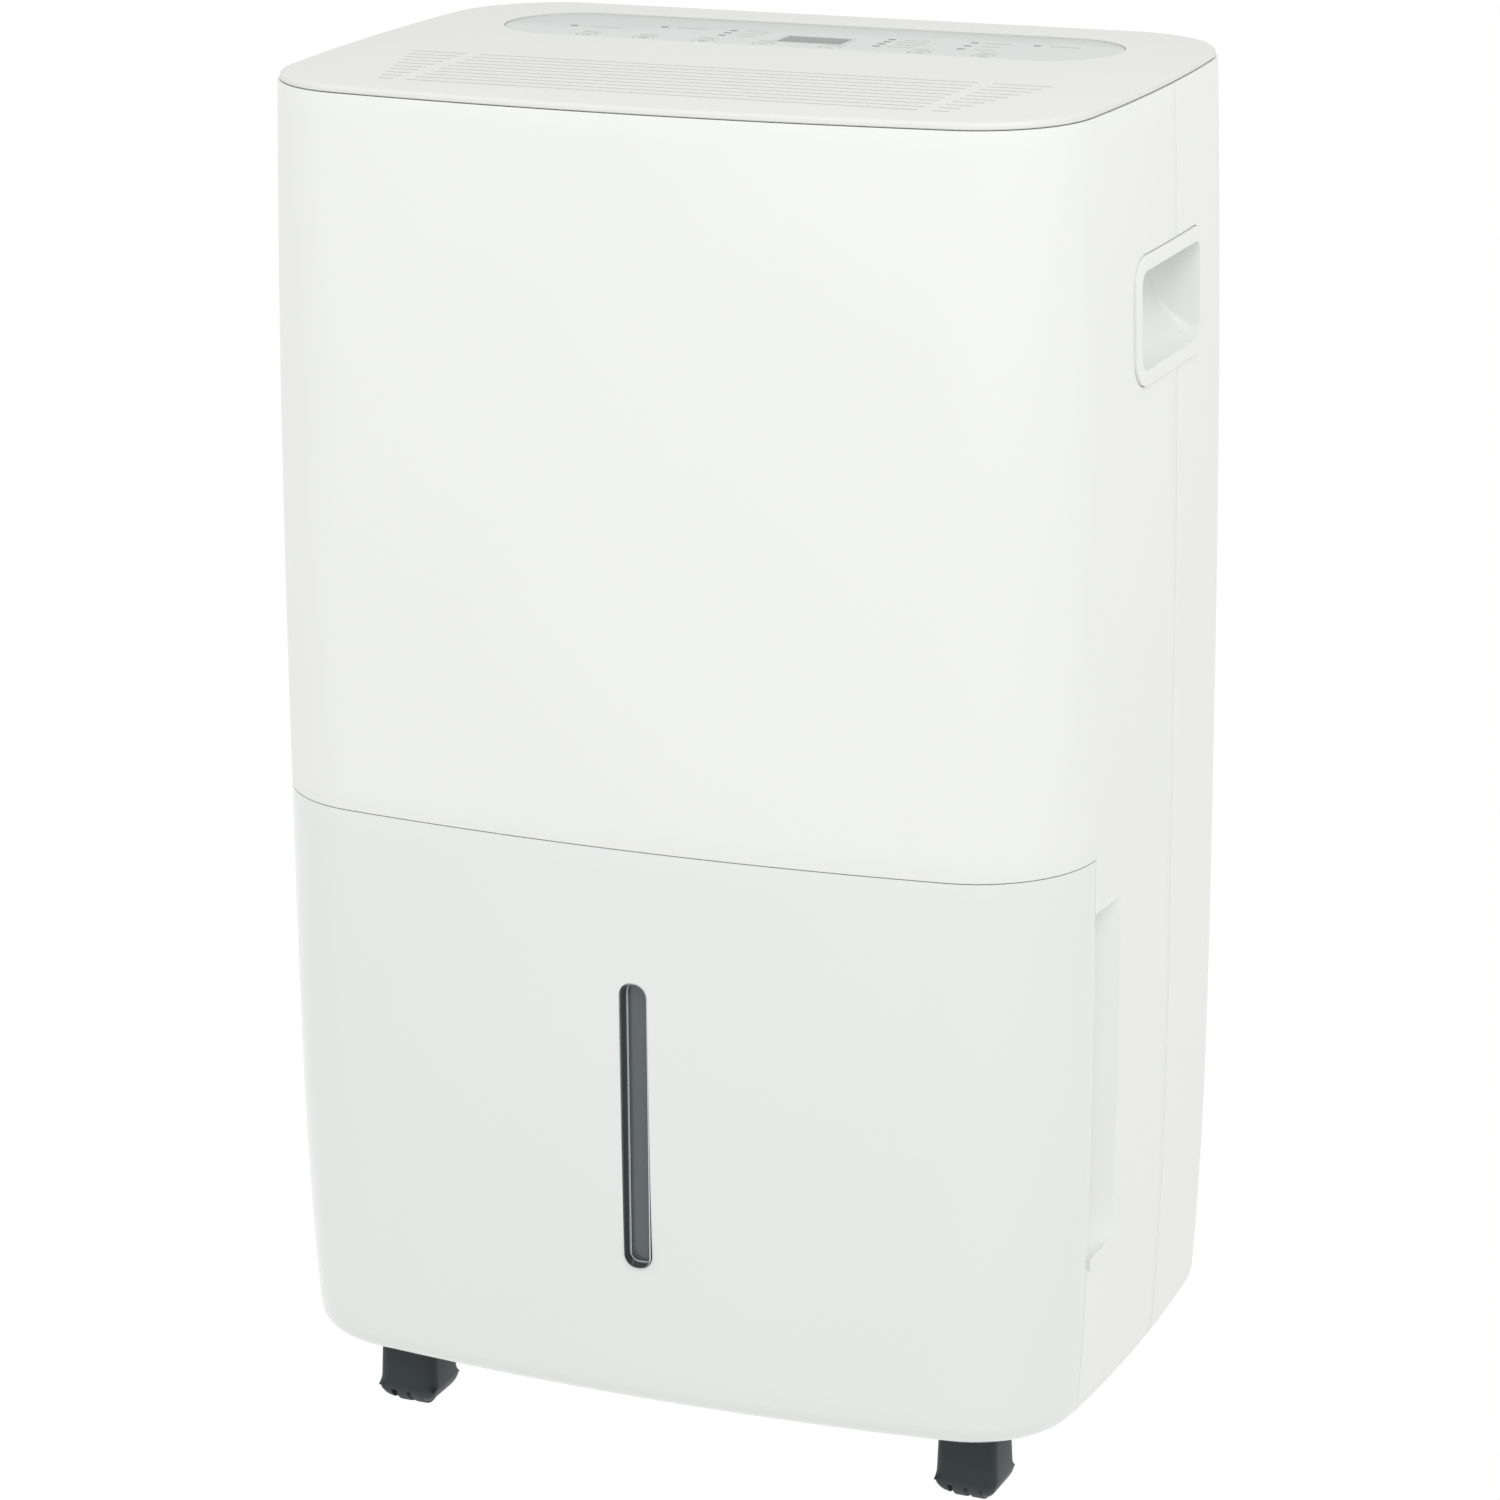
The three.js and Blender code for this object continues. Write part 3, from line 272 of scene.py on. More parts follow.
def sideX(y, inset=0):
    return sideCentre[0] + math.sqrt((cabinet["sideBow"] - inset) ** 2 - y * y)


def sideColumns():
    fixed = [bucketBack, bucketBack + seamGap, frontHigh.y, rearLow.y]
    start = noseAt[1] + cabinet["nose"] * math.sin(noseEnd) + 5 * mm
    stop = tailAt[1] + cabinet["tail"] * math.sin(tailStart) - 5 * mm
    count = 20
    spread = [start + (stop - start) * i / count for i in range(count + 1)]
    return sorted(fixed + [y for y in spread if all(abs(y - f) > 3 * mm for f in fixed)])


sideYs = sideColumns()


# The outline moved in by an inset, counterclockwise from the middle of the front.
def planRing(inset):
    c = cabinet
    right = [(0.0, inset - halfDepth)]
    for i in range(1, c["frontSteps"] + 1):
        angle = -math.pi / 2 + (noseStart + math.pi / 2) * i / c["frontSteps"]
        right.append(arcPoint(frontCentre, c["frontBow"] - inset, angle))
    for i in range(1, c["noseSteps"] + 1):
        angle = noseStart + (noseEnd - noseStart) * i / c["noseSteps"]
        right.append(arcPoint(noseAt, c["nose"] - inset, angle))
    right += [(sideX(y, inset), y) for y in sideYs]
    for i in range(c["tailSteps"] + 1):
        angle = tailStart + (math.pi / 2 - tailStart) * i / c["tailSteps"]
        right.append(arcPoint(tailAt, c["tail"] - inset, angle))
    for i in range(1, c["rearSteps"] + 1):
        right.append((tailAt[0] * (1 - i / c["rearSteps"]), halfDepth - inset))
    left = [(-x, y) for x, y in right[1:-1]]
    return right + left[::-1]


# A tube of the cabinet's outline through levels of (inset, height), drawn up ring by ring.
def skin(name, levels):
    ring = planRing(levels[0][0])
    bpy.ops.object.select_all(action="DESELECT")
    bpy.ops.mesh.primitive_circle_add(vertices=len(ring), radius=1)
    piece = named(name)
    column = piece.data.attributes.new("column", "INT", "POINT")
    for i, vertex in enumerate(piece.data.vertices):
        column.data[i].value = i
        vertex.co = (*ring[i], levels[0][1])
    with shaping(piece):
        bpy.ops.mesh.select_mode(type="VERT")
        bpy.ops.mesh.select_all(action="SELECT")
        for inset, z in levels[1:]:
            bpy.ops.mesh.extrude_region_move(TRANSFORM_OT_translate={"value": (0, 0, 1 * mm)})
            ring = planRing(inset)
            mesh = bmesh.from_edit_mesh(piece.data)
            layer = mesh.verts.layers.int["column"]
            for vertex in mesh.verts:
                if vertex.select:
                    vertex.co = (*ring[vertex[layer]], z)
            bmesh.update_edit_mesh(piece.data)
    piece.data.attributes.remove(piece.data.attributes["column"])
    face = max(piece.data.polygons, key=lambda f: f.center.x)
    if face.normal.x < 0:
        flipFaces(piece)
    return piece


def bodyLevels():
    foot = [underside + cabinet["footRound"] * s for s in (0, 0.03, 0.11, 0.24, 0.43, 0.68, 1)]
    levels = list(foot)
    for low, high in ((foot[-1], bucketTop), (splitZ, housingTop)):
        count = round((high - low) / cabinet["rowHeight"])
        levels += [low + (high - low) * i / count for i in range(count + 1)]
    return [(insetAt(z), z) for z in sorted(set(round(z, 7) for z in levels))]


def keepFaces(piece, test):
    with shaping(piece):
        grab("FACE", lambda f: not test(f.calc_center_median()))
        bpy.ops.mesh.delete(type="FACE")


def thicken(piece, wall=None):
    modify(piece, "SOLIDIFY", thickness=wall or cabinet["wall"], offset=-1, use_even_offset=True)


# Shader helpers.


# A number socket that takes part in Python arithmetic.
class Value:

    def __init__(self, shader, socket):
        self.shader, self.socket = shader, socket

    def mix(self, operation, a, b):
        made = self.shader.node("ShaderNodeMath", {"operation": operation}, {0: a, 1: b})
        return Value(self.shader, made.outputs[0])

    def __add__(self, other):
        return self.mix("ADD", self, other)

    __radd__ = __add__

    def __mul__(self, other):
        return self.mix("MULTIPLY", self, other)

    __rmul__ = __mul__

    def __sub__(self, other):
        return self.mix("SUBTRACT", self, other)

    def __rsub__(self, other):
        return self.mix("SUBTRACT", other, self)

    def __truediv__(self, other):
        return self.mix("DIVIDE", self, other)

    def __mod__(self, other):
        return self.mix("FLOORED_MODULO", self, other)

    def abs(self):
        return self.mix("ABSOLUTE", self, 0)


# One material and its principled shader.
class Shader:

    def __init__(self, name, color, roughness, **constants):
        self.material = bpy.data.materials.new(name)
        self.material.use_nodes = True
        self.tree = self.material.node_tree
        self.main = self.tree.nodes["Principled BSDF"]
        self.material.diffuse_color = (*color, 1)
        self.main.inputs["Base Color"].default_value = (*color, 1)
        self.main.inputs["Roughness"].default_value = roughness
        for socket, value in constants.items():
            self.main.inputs[socket.replace("_", " ")].default_value = value

    def node(self, kind, settings=None, values=None):
        made = self.tree.nodes.new(kind)
        for key, value in (settings or {}).items():
            setattr(made, key, value)
        for key, value in (values or {}).items():
            socket = made.inputs[key]
            if isinstance(value, Value):
                value = value.socket
            if isinstance(value, bpy.types.NodeSocket):
                self.tree.links.new(value, socket)
            else:
                socket.default_value = value
        return made

    def place(self, scale=(1, 1, 1)):
        values = {"Vector": self.node("ShaderNodeTexCoord").outputs["Object"], "Scale": scale}
        return self.node("ShaderNodeMapping", None, values).outputs[0]

    def noise(self, scale, detail=4, roughness=0.5, stretch=(1, 1, 1)):
        values = {"Vector": self.place(stretch), "Scale": scale}
        values |= {"Detail": detail, "Roughness": roughness}
        return Value(self, self.node("ShaderNodeTexNoise", None, values).outputs["Fac"])

    def cells(self, scale):
        values = {"Vector": self.place(), "Scale": scale}
        return Value(self, self.node("ShaderNodeTexVoronoi", None, values).outputs["Distance"])

    def axes(self):
        split = self.node("ShaderNodeSeparateXYZ", None, {0: self.place()})
        return [Value(self, split.outputs[i]) for i in range(3)]

    def blend(self, factor, a, b):
        settings = {"data_type": "RGBA", "clamp_factor": True}
        made = self.node("ShaderNodeMix", settings, {0: factor})
        for index, color in ((6, a), (7, b)):
            if isinstance(color, bpy.types.NodeSocket):
                self.tree.links.new(color, made.inputs[index])
            else:
                made.inputs[index].default_value = (*color, 1)
        return made.outputs[2]

    def feed(self, name, value):
        socket = value.socket if isinstance(value, Value) else value
        self.tree.links.new(socket, self.main.inputs[name])

    def relief(self, height, strength, distance):
        values = {"Height": height, "Strength": strength, "Distance": distance}
        self.feed("Normal", self.node("ShaderNodeBump", None, values).outputs[0])


# Moulded plastic: a slight cloud in its colour and gloss, and the mould's fine grain.
def moulded(name, color, roughness, grain=0.0, **constants):
    shader = Shader(name, color, roughness, **constants)
    cloud = shader.noise(9, detail=3)
    darker = tuple(channel * 0.975 for channel in color)
    shader.feed("Base Color", shader.blend(cloud, darker, color))
    fine = shader.noise(420, detail=6, roughness=0.6)
    shader.feed("Roughness", fine * 0.06 + cloud * 0.04 + (roughness - 0.05))
    if grain:
        shader.relief(shader.cells(1400) + fine * 0.5, grain, 0.1 * mm)
    return shader.material


def metalFinish(name, color, roughness, stretch=(1, 1, 1), scale=260):
    shader = Shader(name, color, roughness, Metallic=1)
    streaks = shader.noise(scale, detail=5, stretch=stretch)
    darker = tuple(channel * 0.78 for channel in color)
    shader.feed("Base Color", shader.blend(streaks, darker, color))
    shader.feed("Roughness", streaks * 0.2 + (roughness - 0.1))
    shader.relief(streaks, 0.12, 0.1 * mm)
    return shader.material


# Fine bars across and up a face, such as coil fins or a filter net, with painted shade in the gaps
# between the bars.
def finNet(name, color, gapShade, pitchX, pitchZ, metallic, roughness):
    shader = Shader(name, color, roughness, Metallic=metallic)
    x, _, z = shader.axes()
    bars = ((x / pitchX) % 1 - 0.5).abs() * 2
    lines = bars
    if pitchZ:
        rows = ((z / pitchZ) % 1 - 0.5).abs() * 2
        lines = bars.mix("MAXIMUM", bars, rows)
    cloud = shader.noise(14)
    # The gaps between bars are coloured with painted shade; the same mask sinks them in the bump.
    gapShadeMask = (lines - 0.35) * 2.2
    cloudy = shader.blend(cloud, tuple(channel * 0.85 for channel in color), color)
    shader.feed("Base Color", shader.blend(gapShadeMask, gapShade, cloudy))
    shader.relief(gapShadeMask, 0.6, 0.5 * mm)
    return shader.material


bodyWhite = moulded("bodyWhite", (0.775, 0.785, 0.768), 0.36, Specular_IOR_Level=0.45)
bucketGloss = {"Coat_Weight": 0.35, "Coat_Roughness": 0.08}
bucketWhite = moulded("bucketWhite", (0.725, 0.742, 0.728), 0.2, **bucketGloss)
lidWhite = moulded("lidWhite", (0.70, 0.702, 0.688), 0.45, grain=0.25)
overlayGrey = moulded("overlayGrey", (0.575, 0.61, 0.59), 0.3)
keyGrey = moulded("keyGrey", (0.61, 0.645, 0.625), 0.4, Specular_IOR_Level=0.3)
inkGrey = moulded("inkGrey", (0.50, 0.535, 0.515), 0.5)
ledDark = moulded("ledDark", (0.12, 0.14, 0.135), 0.25)
displayDark = moulded("displayDark", (0.25, 0.275, 0.265), 0.4, Specular_IOR_Level=0.3)
hoodBlack = moulded("hoodBlack", (0.022, 0.031, 0.033), 0.45, grain=0.3, Specular_IOR_Level=0.32)
treadBlack = moulded("treadBlack", (0.02, 0.024, 0.027), 0.6, grain=0.6)
panBlack = moulded("panBlack", (0.03, 0.034, 0.037), 0.5, grain=0.5)
milkyGlow = {"Subsurface_Weight": 0.15, "Subsurface_Scale": 0.004}
milkyWhite = moulded("milkyWhite", (0.70, 0.74, 0.745), 0.35, **milkyGlow)
# The sight window's floor: the real grey tint of its clear plastic, deepened with painted shade of
# the tank's inside.
windowTintAndShade = moulded("windowTintAndShade", (0.092, 0.108, 0.118), 0.12, Coat_Weight=0.5)
# Painted shade for the sight window's walls and brim, deeper than its floor.
shadedWindowWall = moulded("shadedWindowWall", (0.045, 0.053, 0.06), 0.15, Coat_Weight=0.4)
# A light grey painted highlight for the sight window's bead and rim line.
windowEdgeHighlight = moulded("windowEdgeHighlight", (0.5, 0.55, 0.58), 0.15, Coat_Weight=0.5)
floatFoam = moulded("floatFoam", (0.82, 0.79, 0.70), 0.75, grain=0.9)
rubberBlack = moulded("rubberBlack", (0.022, 0.023, 0.025), 0.75, grain=0.7)
boardGreen = moulded("boardGreen", (0.02, 0.12, 0.06), 0.4)
canBlack = moulded("canBlack", (0.018, 0.02, 0.022), 0.3, grain=0.4, Coat_Weight=0.3)
# The second colour of each is painted shade in the gaps between fins or net strands.
coilMetal = finNet("coilMetal", (0.62, 0.65, 0.68), (0.05, 0.055, 0.06), 1.8 * mm, None, 1, 0.35)
filterNet = finNet("filterNet", (0.16, 0.18, 0.2), (0.015, 0.017, 0.02), 1.6 * mm, 1.6 * mm, 0, 0.6)
filterFrame = moulded("filterFrame", (0.06, 0.07, 0.08), 0.5, grain=0.4)
copperTube = metalFinish("copperTube", (0.70, 0.36, 0.24), 0.3, scale=60)
plainSteel = metalFinish("plainSteel", (0.5, 0.52, 0.54), 0.35)
print("materials made")


# Gives a finished piece its material and the body that it moves with, and hides the imported parts
# that it stands for.
def dress(piece, material, slot, body, *stood):
    piece.data.materials.clear()
    piece.data.materials.append(material)
    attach(piece, body)
    if stood:
        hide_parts(*stood)
    return piece


# Housings and bucket front.

skinLevels = bodyLevels()
wholeSkin = skin("wholeSkin", skinLevels)

handle = {
    "proud": 1.2 * mm,
    "corner": 13 * mm,
    "rim": 6.5 * mm,
    "fit": 0.4 * mm,
    "floorRise": 30 * mm,
    "backWall": 3.5 * mm,
    "backRound": 20 * mm,
    "backInset": 5.6 * mm,
    "backSteps": 10,
    "rimRound": 2.4 * mm,
}
cupLow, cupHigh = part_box("handle_cup_right")
cupY = (cupLow.y, cupHigh.y)
cupZ = (cupLow.z, cupHigh.z)
cupMiddle = (cupLow.y + cupHigh.y) / 2
cupHalf = (cupHigh.y - cupLow.y) / 2 - handle["rim"] + 0.1 * mm


def handleHole():
    grow = handle["fit"]
    low = (-halfWidth - beyond, cupY[0] - grow, cupZ[0] - grow)
    high = (halfWidth + beyond, cupY[1] + grow, cupZ[1] + grow)
    return roundedBlock("handleHole", low, high, "X", handle["corner"] + grow)


scoop = {
    "bottom": 119 * mm,
    "top": 278 * mm,
    "length": 29 * mm,
    "depth": 15 * mm,
    "before": 8 * mm,
    "topRound": 11 * mm,
    "bottomRound": 26 * mm,
    "fade": 0.8,
    "columns": 12,
    "rows": 8,
    "steps": 8,
    "behind": 20 * mm,
    "backWall": 3.2 * mm,
    "fromFace": 2.9 * mm,
    "pastEnd": 4 * mm,
    "overlap": 0.15 * mm,
}


# A smooth dish, deepest at the bucket's edge, fading into the side and rounded at both ends.
def scoopCutter(side):
    s = scoop
    edge = bucketBack + seamGap
    outer, inner = side * (halfWidth + beyond), side * (halfWidth - beyond)
    low = (min(outer, inner), edge - s["before"], s["bottom"])
    high = (max(outer, inner), edge + s["length"], s["top"])
    piece = block("scoopCutter", low, high)
    rows = [s["bottom"] + (s["top"] - s["bottom"]) * i / s["rows"] for i in range(3, 7)]
    for i in range(1, s["steps"] + 1):
        share = 1 - math.cos(math.pi / 2 * i / s["steps"])
        rows += [s["bottom"] + s["bottomRound"] * share, s["top"] - s["topRound"] * share]
    columns = [edge + s["length"] * i / s["columns"] for i in range(s["columns"])]
    cuts = [((0, y, 0), (0, 1, 0)) for y in columns] + [((0, 0, z), (0, 0, 1)) for z in rows]
    with shaping(piece):
        for point, normal in cuts:
            bpy.ops.mesh.select_all(action="SELECT")
            bpy.ops.mesh.bisect(plane_co=point, plane_no=normal)
        mesh = bmesh.from_edit_mesh(piece.data)
        for vertex in mesh.verts:
            if abs(vertex.co.x - inner) < mm:
                y, z = vertex.co.y, vertex.co.z
                reach = s["depth"] * max(0, 1 - (y - edge) / s["length"]) ** s["fade"]
                for share in ((s["top"] - z) / s["topRound"], (z - s["bottom"]) / s["bottomRound"]):
                    reach *= math.sqrt(max(0, 1 - (1 - min(1, share)) ** 2))
                vertex.co.x = side * (sideX(y, insetAt(z)) - reach + s["overlap"])
        bmesh.update_edit_mesh(piece.data)
    return piece


# The solid stock behind the dish, joined to the housing's wall before the dish is cut.
def scoopBacking(side):
    s = scoop
    edge = bucketBack + seamGap
    inner, outer = halfWidth - s["behind"] - s["backWall"], halfWidth - s["fromFace"]
    x = sorted((side * inner, side * outer))
    low = (x[0], edge + 0.3 * mm, s["bottom"] - 5 * mm)
    high = (x[1], edge + s["length"] + s["pastEnd"], s["top"] + 5 * mm)
    return block("scoopBacking", low, high)


def frontHousing():
    piece = copyOf(wholeSkin, "frontHousing")
    mid = (frontHigh.y + rearLow.y) / 2

    def belongs(at):
        beforeSeam = at.y < mid - seamGap / 2 + 0.05 * mm
        overBucket = at.z > splitZ or at.y > bucketBack + seamGap
        return beforeSeam and overBucket

    keepFaces(piece, belongs)
    thicken(piece)
    soften(piece, cabinet["edge"])
    for side in (1, -1):
        cutOut(piece, scoopBacking(side), operation="UNION")
        cutOut(piece, scoopCutter(side))
    cutOut(piece, handleHole())
    smooth(piece)
    return dress(piece, bodyWhite, "body_white", "cabinet", "front_housing")


rear = {
    "doorGap": 0.6 * mm,
    "doorCorner": 3 * mm,
    "drainHole": 12 * mm,
    "glandHole": 11.4 * mm,
    "screwHole": 3.9 * mm,
    "reach": 30 * mm,
}
doorLow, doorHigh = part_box("filter_door")
plugLow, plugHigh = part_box("drain_plug")
glandLow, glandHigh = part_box("cord_gland")
screwBoxes = [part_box(f"housing_screw_{i}") for i in (1, 2, 3, 4)]


# A round cutter through the back wall, on the middle of a piece's box.
def backHole(name, radius, box, sides=48):
    centre = (box[0] + box[1]) / 2
    start = (centre.x, halfDepth - rear["reach"], centre.z)
    return rod(name, radius, start, rear["reach"] + beyond, "Y", sides)


def rearHousing():
    piece = copyOf(wholeSkin, "rearHousing")
    mid = (frontHigh.y + rearLow.y) / 2
    keepFaces(piece, lambda at: at.y > mid + seamGap / 2 - 0.05 * mm)
    thicken(piece)
    soften(piece, cabinet["edge"])
    cutOut(piece, handleHole())
    gap = rear["doorGap"]
    low = (doorLow.x - gap, halfDepth - rear["reach"], doorLow.z - gap)
    high = (doorHigh.x + gap, halfDepth + beyond, doorHigh.z + gap)
    cutOut(piece, roundedBlock("doorHole", low, high, "Y", rear["doorCorner"], 5))
    cutOut(piece, backHole("drainHole", rear["drainHole"], (plugLow, plugHigh)))
    cutOut(piece, backHole("glandHole", rear["glandHole"], (glandLow, glandHigh)))
    for box in screwBoxes:
        cutOut(piece, backHole("screwHole", rear["screwHole"], box, 24))
    smooth(piece)
    return dress(piece, bodyWhite, "body_white", "cabinet", "rear_housing")


windowLow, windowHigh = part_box("sight_window")
windowX = (windowLow.x, windowHigh.x)
windowZ = (windowLow.z, windowHigh.z)
sight = {
    "corner": 6 * mm,
    "fit": 0.35 * mm,
    "set": 0.5 * mm,
    "body": 12 * mm,
    "brim": 0.5 * mm,
    "deep": 4.9 * mm,
    "sideStep": 0.7 * mm,
    "endStep": 0.9 * mm,
    "border": 0.9 * mm,
    "line": 0.5 * mm,
    "round": 0.4 * mm,
}
bucketLip = {"reach": 9 * mm, "edge": 0.8 * mm}


# A block on the sight window's outline, made smaller by a step at each side and end.
def windowBlock(name, sideStep, endStep, near, far, corner, segments=8):
    low = (windowX[0] + sideStep, near, windowZ[0] + endStep)
    high = (windowX[1] - sideStep, far, windowZ[1] - endStep)
    return roundedBlock(name, low, high, "Y", corner, segments)


def bucketFront():
    piece = copyOf(wholeSkin, "bucketFront")
    keepFaces(piece, lambda at: at.y < bucketBack and at.z < bucketTop)
    with shaping(piece):  # the inner lip that the hand pulls on
        grab("EDGE", lambda e: e.is_boundary and middle(e).z > bucketTop - 0.1 * mm)
        bpy.ops.mesh.extrude_region_move(TRANSFORM_OT_translate={"value": (0, 0, 0)})
        scale = (1 - bucketLip["reach"] / halfWidth, 1 - bucketLip["reach"] / halfDepth, 1)
        bpy.ops.transform.resize(value=scale, center_override=(0, 0, bucketTop))
        grab("VERT", lambda v: v.co.y > bucketBack - 1 * mm and v.co.z > bucketTop - 0.1 * mm)
        mesh = bmesh.from_edit_mesh(piece.data)
        for vertex in mesh.verts:
            if vertex.select:
                vertex.co.y = bucketBack
        bmesh.update_edit_mesh(piece.data)
    thicken(piece)
    soften(piece, bucketLip["edge"], segments=4)
    grow, near, far = sight["fit"], -halfDepth - beyond, -halfDepth + 30 * mm
    cutOut(piece, windowBlock("windowHole", -grow, -grow, near, far, sight["corner"] + grow))
    smooth(piece)
    return dress(piece, bucketWhite, "bucket_white", "bucket", "bucket_front")


frontHousing()
rearHousing()
bucketFront()
print("housings and bucket front made")

# Sight window.


# A clear trough let into the bucket front, in painted colours: walls in painted shade, a bead with
# a painted highlight, a floor of grey tint and painted shade, and a rim line with a painted
# highlight.
def sightWindow():
    w = sight
    face = insetAt((windowZ[0] + windowZ[1]) / 2) - halfDepth + w["set"]
    trough = windowBlock("sightTrough", 0, 0, face, face + w["body"], w["corner"])
    with shaping(trough):
        grab("FACE", lambda f: f.normal.y < -0.9)
        bpy.ops.mesh.inset(thickness=w["brim"], depth=0)
        bpy.ops.mesh.extrude_region_move(TRANSFORM_OT_translate={"value": (0, w["deep"], 0)})
        sx = 1 - 2 * (w["sideStep"] - w["brim"]) / (windowX[1] - windowX[0])
        sz = 1 - 2 * (w["endStep"] - w["brim"]) / (windowZ[1] - windowZ[0])
        centre = (0, face, (windowZ[0] + windowZ[1]) / 2)
        bpy.ops.transform.resize(value=(sx, 1, sz), center_override=centre)
        bpy.ops.mesh.inset(thickness=w["border"], depth=0)
        bpy.ops.mesh.extrude_region_move(TRANSFORM_OT_translate={"value": (0, 0.8 * mm, 0)})
    soften(trough, w["round"], segments=2, angle=30)
    smooth(trough)
    # The trough's walls and brim are coloured with painted shade.
    dress(trough, shadedWindowWall, "window_clear", "bucket", "sight_window")

    step, end, deep = w["sideStep"], w["endStep"], face + w["deep"]
    # A ridge round the floor, coloured as a painted highlight on its edge.
    bead = windowBlock("sightBead", step, end, deep - 0.3 * mm, deep + 0.3 * mm, 4 * mm)
    openPlate(bead, "Y", w["border"])
    soften(bead, 0.2 * mm, segments=2)
    smooth(bead)
    dress(bead, windowEdgeHighlight, "window_clear", "bucket")

    step, end = step + w["border"], end + w["border"]
    # The floor behind the ridge: grey tint with painted shade of the tank's inside.
    floor = windowBlock("sightFloor", step, end, deep + 0.5 * mm, deep + 0.75 * mm, 3.2 * mm)
    soften(floor, 0.1 * mm, segments=1)
    smooth(floor)
    dress(floor, windowTintAndShade, "window_clear", "bucket")

    # A thin line round the opening's rim, coloured as a painted highlight on its edge.
    line = windowBlock("sightHighlightLine", 0, 0, face - 0.05 * mm, face + 0.3 * mm, w["corner"])
    low = (windowX[0] - w["line"], face - 5 * mm, windowZ[0] - w["line"])
    high = (windowX[1] - w["line"], face + 5 * mm, windowZ[1] - w["line"])
    cutOut(line, roundedBlock("lineHole", low, high, "Y", w["corner"], 8))
    smooth(line)
    dress(line, windowEdgeHighlight, "window_clear", "bucket")


sightWindow()

# Side handles.


def handleCup(side):
    h = handle
    name = "handleCupRight" if side > 0 else "handleCupLeft"
    face = halfWidth + h["proud"] - insetAt((cupZ[0] + cupZ[1]) / 2)
    deep = cupLow.x
    low = (min(side * face, side * deep), cupY[0], cupZ[0])
    high = (max(side * face, side * deep), cupY[1], cupZ[1])
    cup = roundedBlock(name, low, high, "X", h["corner"], 12)
    depth = face - deep - h["backWall"]
    top, bottom = cupZ[1] - h["rim"], cupZ[0] + h["rim"]
    with shaping(cup):
        grab("FACE", lambda f: f.normal.x * side > 0.9)
        bpy.ops.mesh.inset(thickness=h["rim"], depth=0)
        straight = side * (h["backRound"] - depth)
        bpy.ops.mesh.extrude_region_move(TRANSFORM_OT_translate={"value": (straight, 0, 0)})
        for step in range(h["backSteps"]):  # the pocket's walls curve into its back
            before, after = (math.pi / 2 * (step + i) / h["backSteps"] for i in (0, 1))
            inward = h["backInset"] * (math.cos(before) - math.cos(after))
            deeper = h["backRound"] * (math.sin(after) - math.sin(before))
            bpy.ops.mesh.inset(thickness=inward, depth=-deeper)
        mesh = bmesh.from_edit_mesh(cup.data)
        for vertex in mesh.verts:  # the floor coves up into the back
            sunk = (face - vertex.co.x * side) / depth
            inside = bottom - 0.1 * mm < vertex.co.z < top + 0.1 * mm
            if 0.05 < sunk < 1.01 and inside and abs(vertex.co.y - cupMiddle) < cupHalf:
                share = (top - vertex.co.z) / (top - bottom)
                vertex.co.z += h["floorRise"] * share * (1 - math.sqrt(max(0, 1 - sunk**2)))
        bmesh.update_edit_mesh(cup.data)
    soften(cup, h["rimRound"], segments=4, angle=50)
    for vertex in cup.data.vertices:  # the rim follows the bowed, leaning side
        if vertex.co.x * side > face - 6 * mm:
            flat = halfWidth - insetAt((cupZ[0] + cupZ[1]) / 2)
            vertex.co.x += side * (sideX(vertex.co.y, insetAt(vertex.co.z)) - flat)
    smooth(cup, 40)
    node = "handle_cup_right" if side > 0 else "handle_cup_left"
    return dress(cup, bodyWhite, "body_white", "cabinet", node)


handleCup(1)
handleCup(-1)
print("handles made")

# Top panel.

lid = {
    "inset": 0.9 * mm,
    "plate": 4.2 * mm,
    "round": 1.8 * mm,
    "chamfer": 0.4 * mm,
    "steps": 6,
    "skirt": 8 * mm,
    "skirtWall": 1.6 * mm,
    "skirtInset": 3.8 * mm,
    "rows": 10,
    "pitch": 8 * mm,
    "slot": 1.5 * mm,
    "firstRow": 38 * mm,
    "ribMargin": 75.5 * mm,
    "rib": 6 * mm,
    "endMargin": 62 * mm,
    "flare": 2.2 * mm,
    "overlayFit": 0.3 * mm,
}
overlayLow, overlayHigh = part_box("control_overlay")
overlayTop = overlayHigh.z


def lidLevels():
    inner = insetAt(cabinetTop) + lid["skirtInset"]
    rim = insetAt(cabinetTop) + lid["inset"]
    underPlate = cabinetTop - lid["plate"]
    skirtEnd = housingTop - lid["skirt"]
    levels = [(inner + lid["skirtWall"], underPlate), (inner + lid["skirtWall"], skirtEnd)]
    levels += [(inner, skirtEnd), (inner, lidBase)]
    levels += [(rim + lid["chamfer"], lidBase), (rim, lidBase + lid["chamfer"])]
    for step in range(lid["steps"] + 1):
        angle = step / lid["steps"] * math.pi / 2
        inward = lid["round"] * (1 - math.cos(angle))
        levels.append((rim + inward, cabinetTop - lid["round"] * (1 - math.sin(angle))))
    return levels


def closeRims(piece, *heights):
    with shaping(piece):
        for z in heights:
            grab("EDGE", lambda e: e.is_boundary and abs(middle(e).z - z) < 0.01 * mm)
            bpy.ops.mesh.edge_face_add()


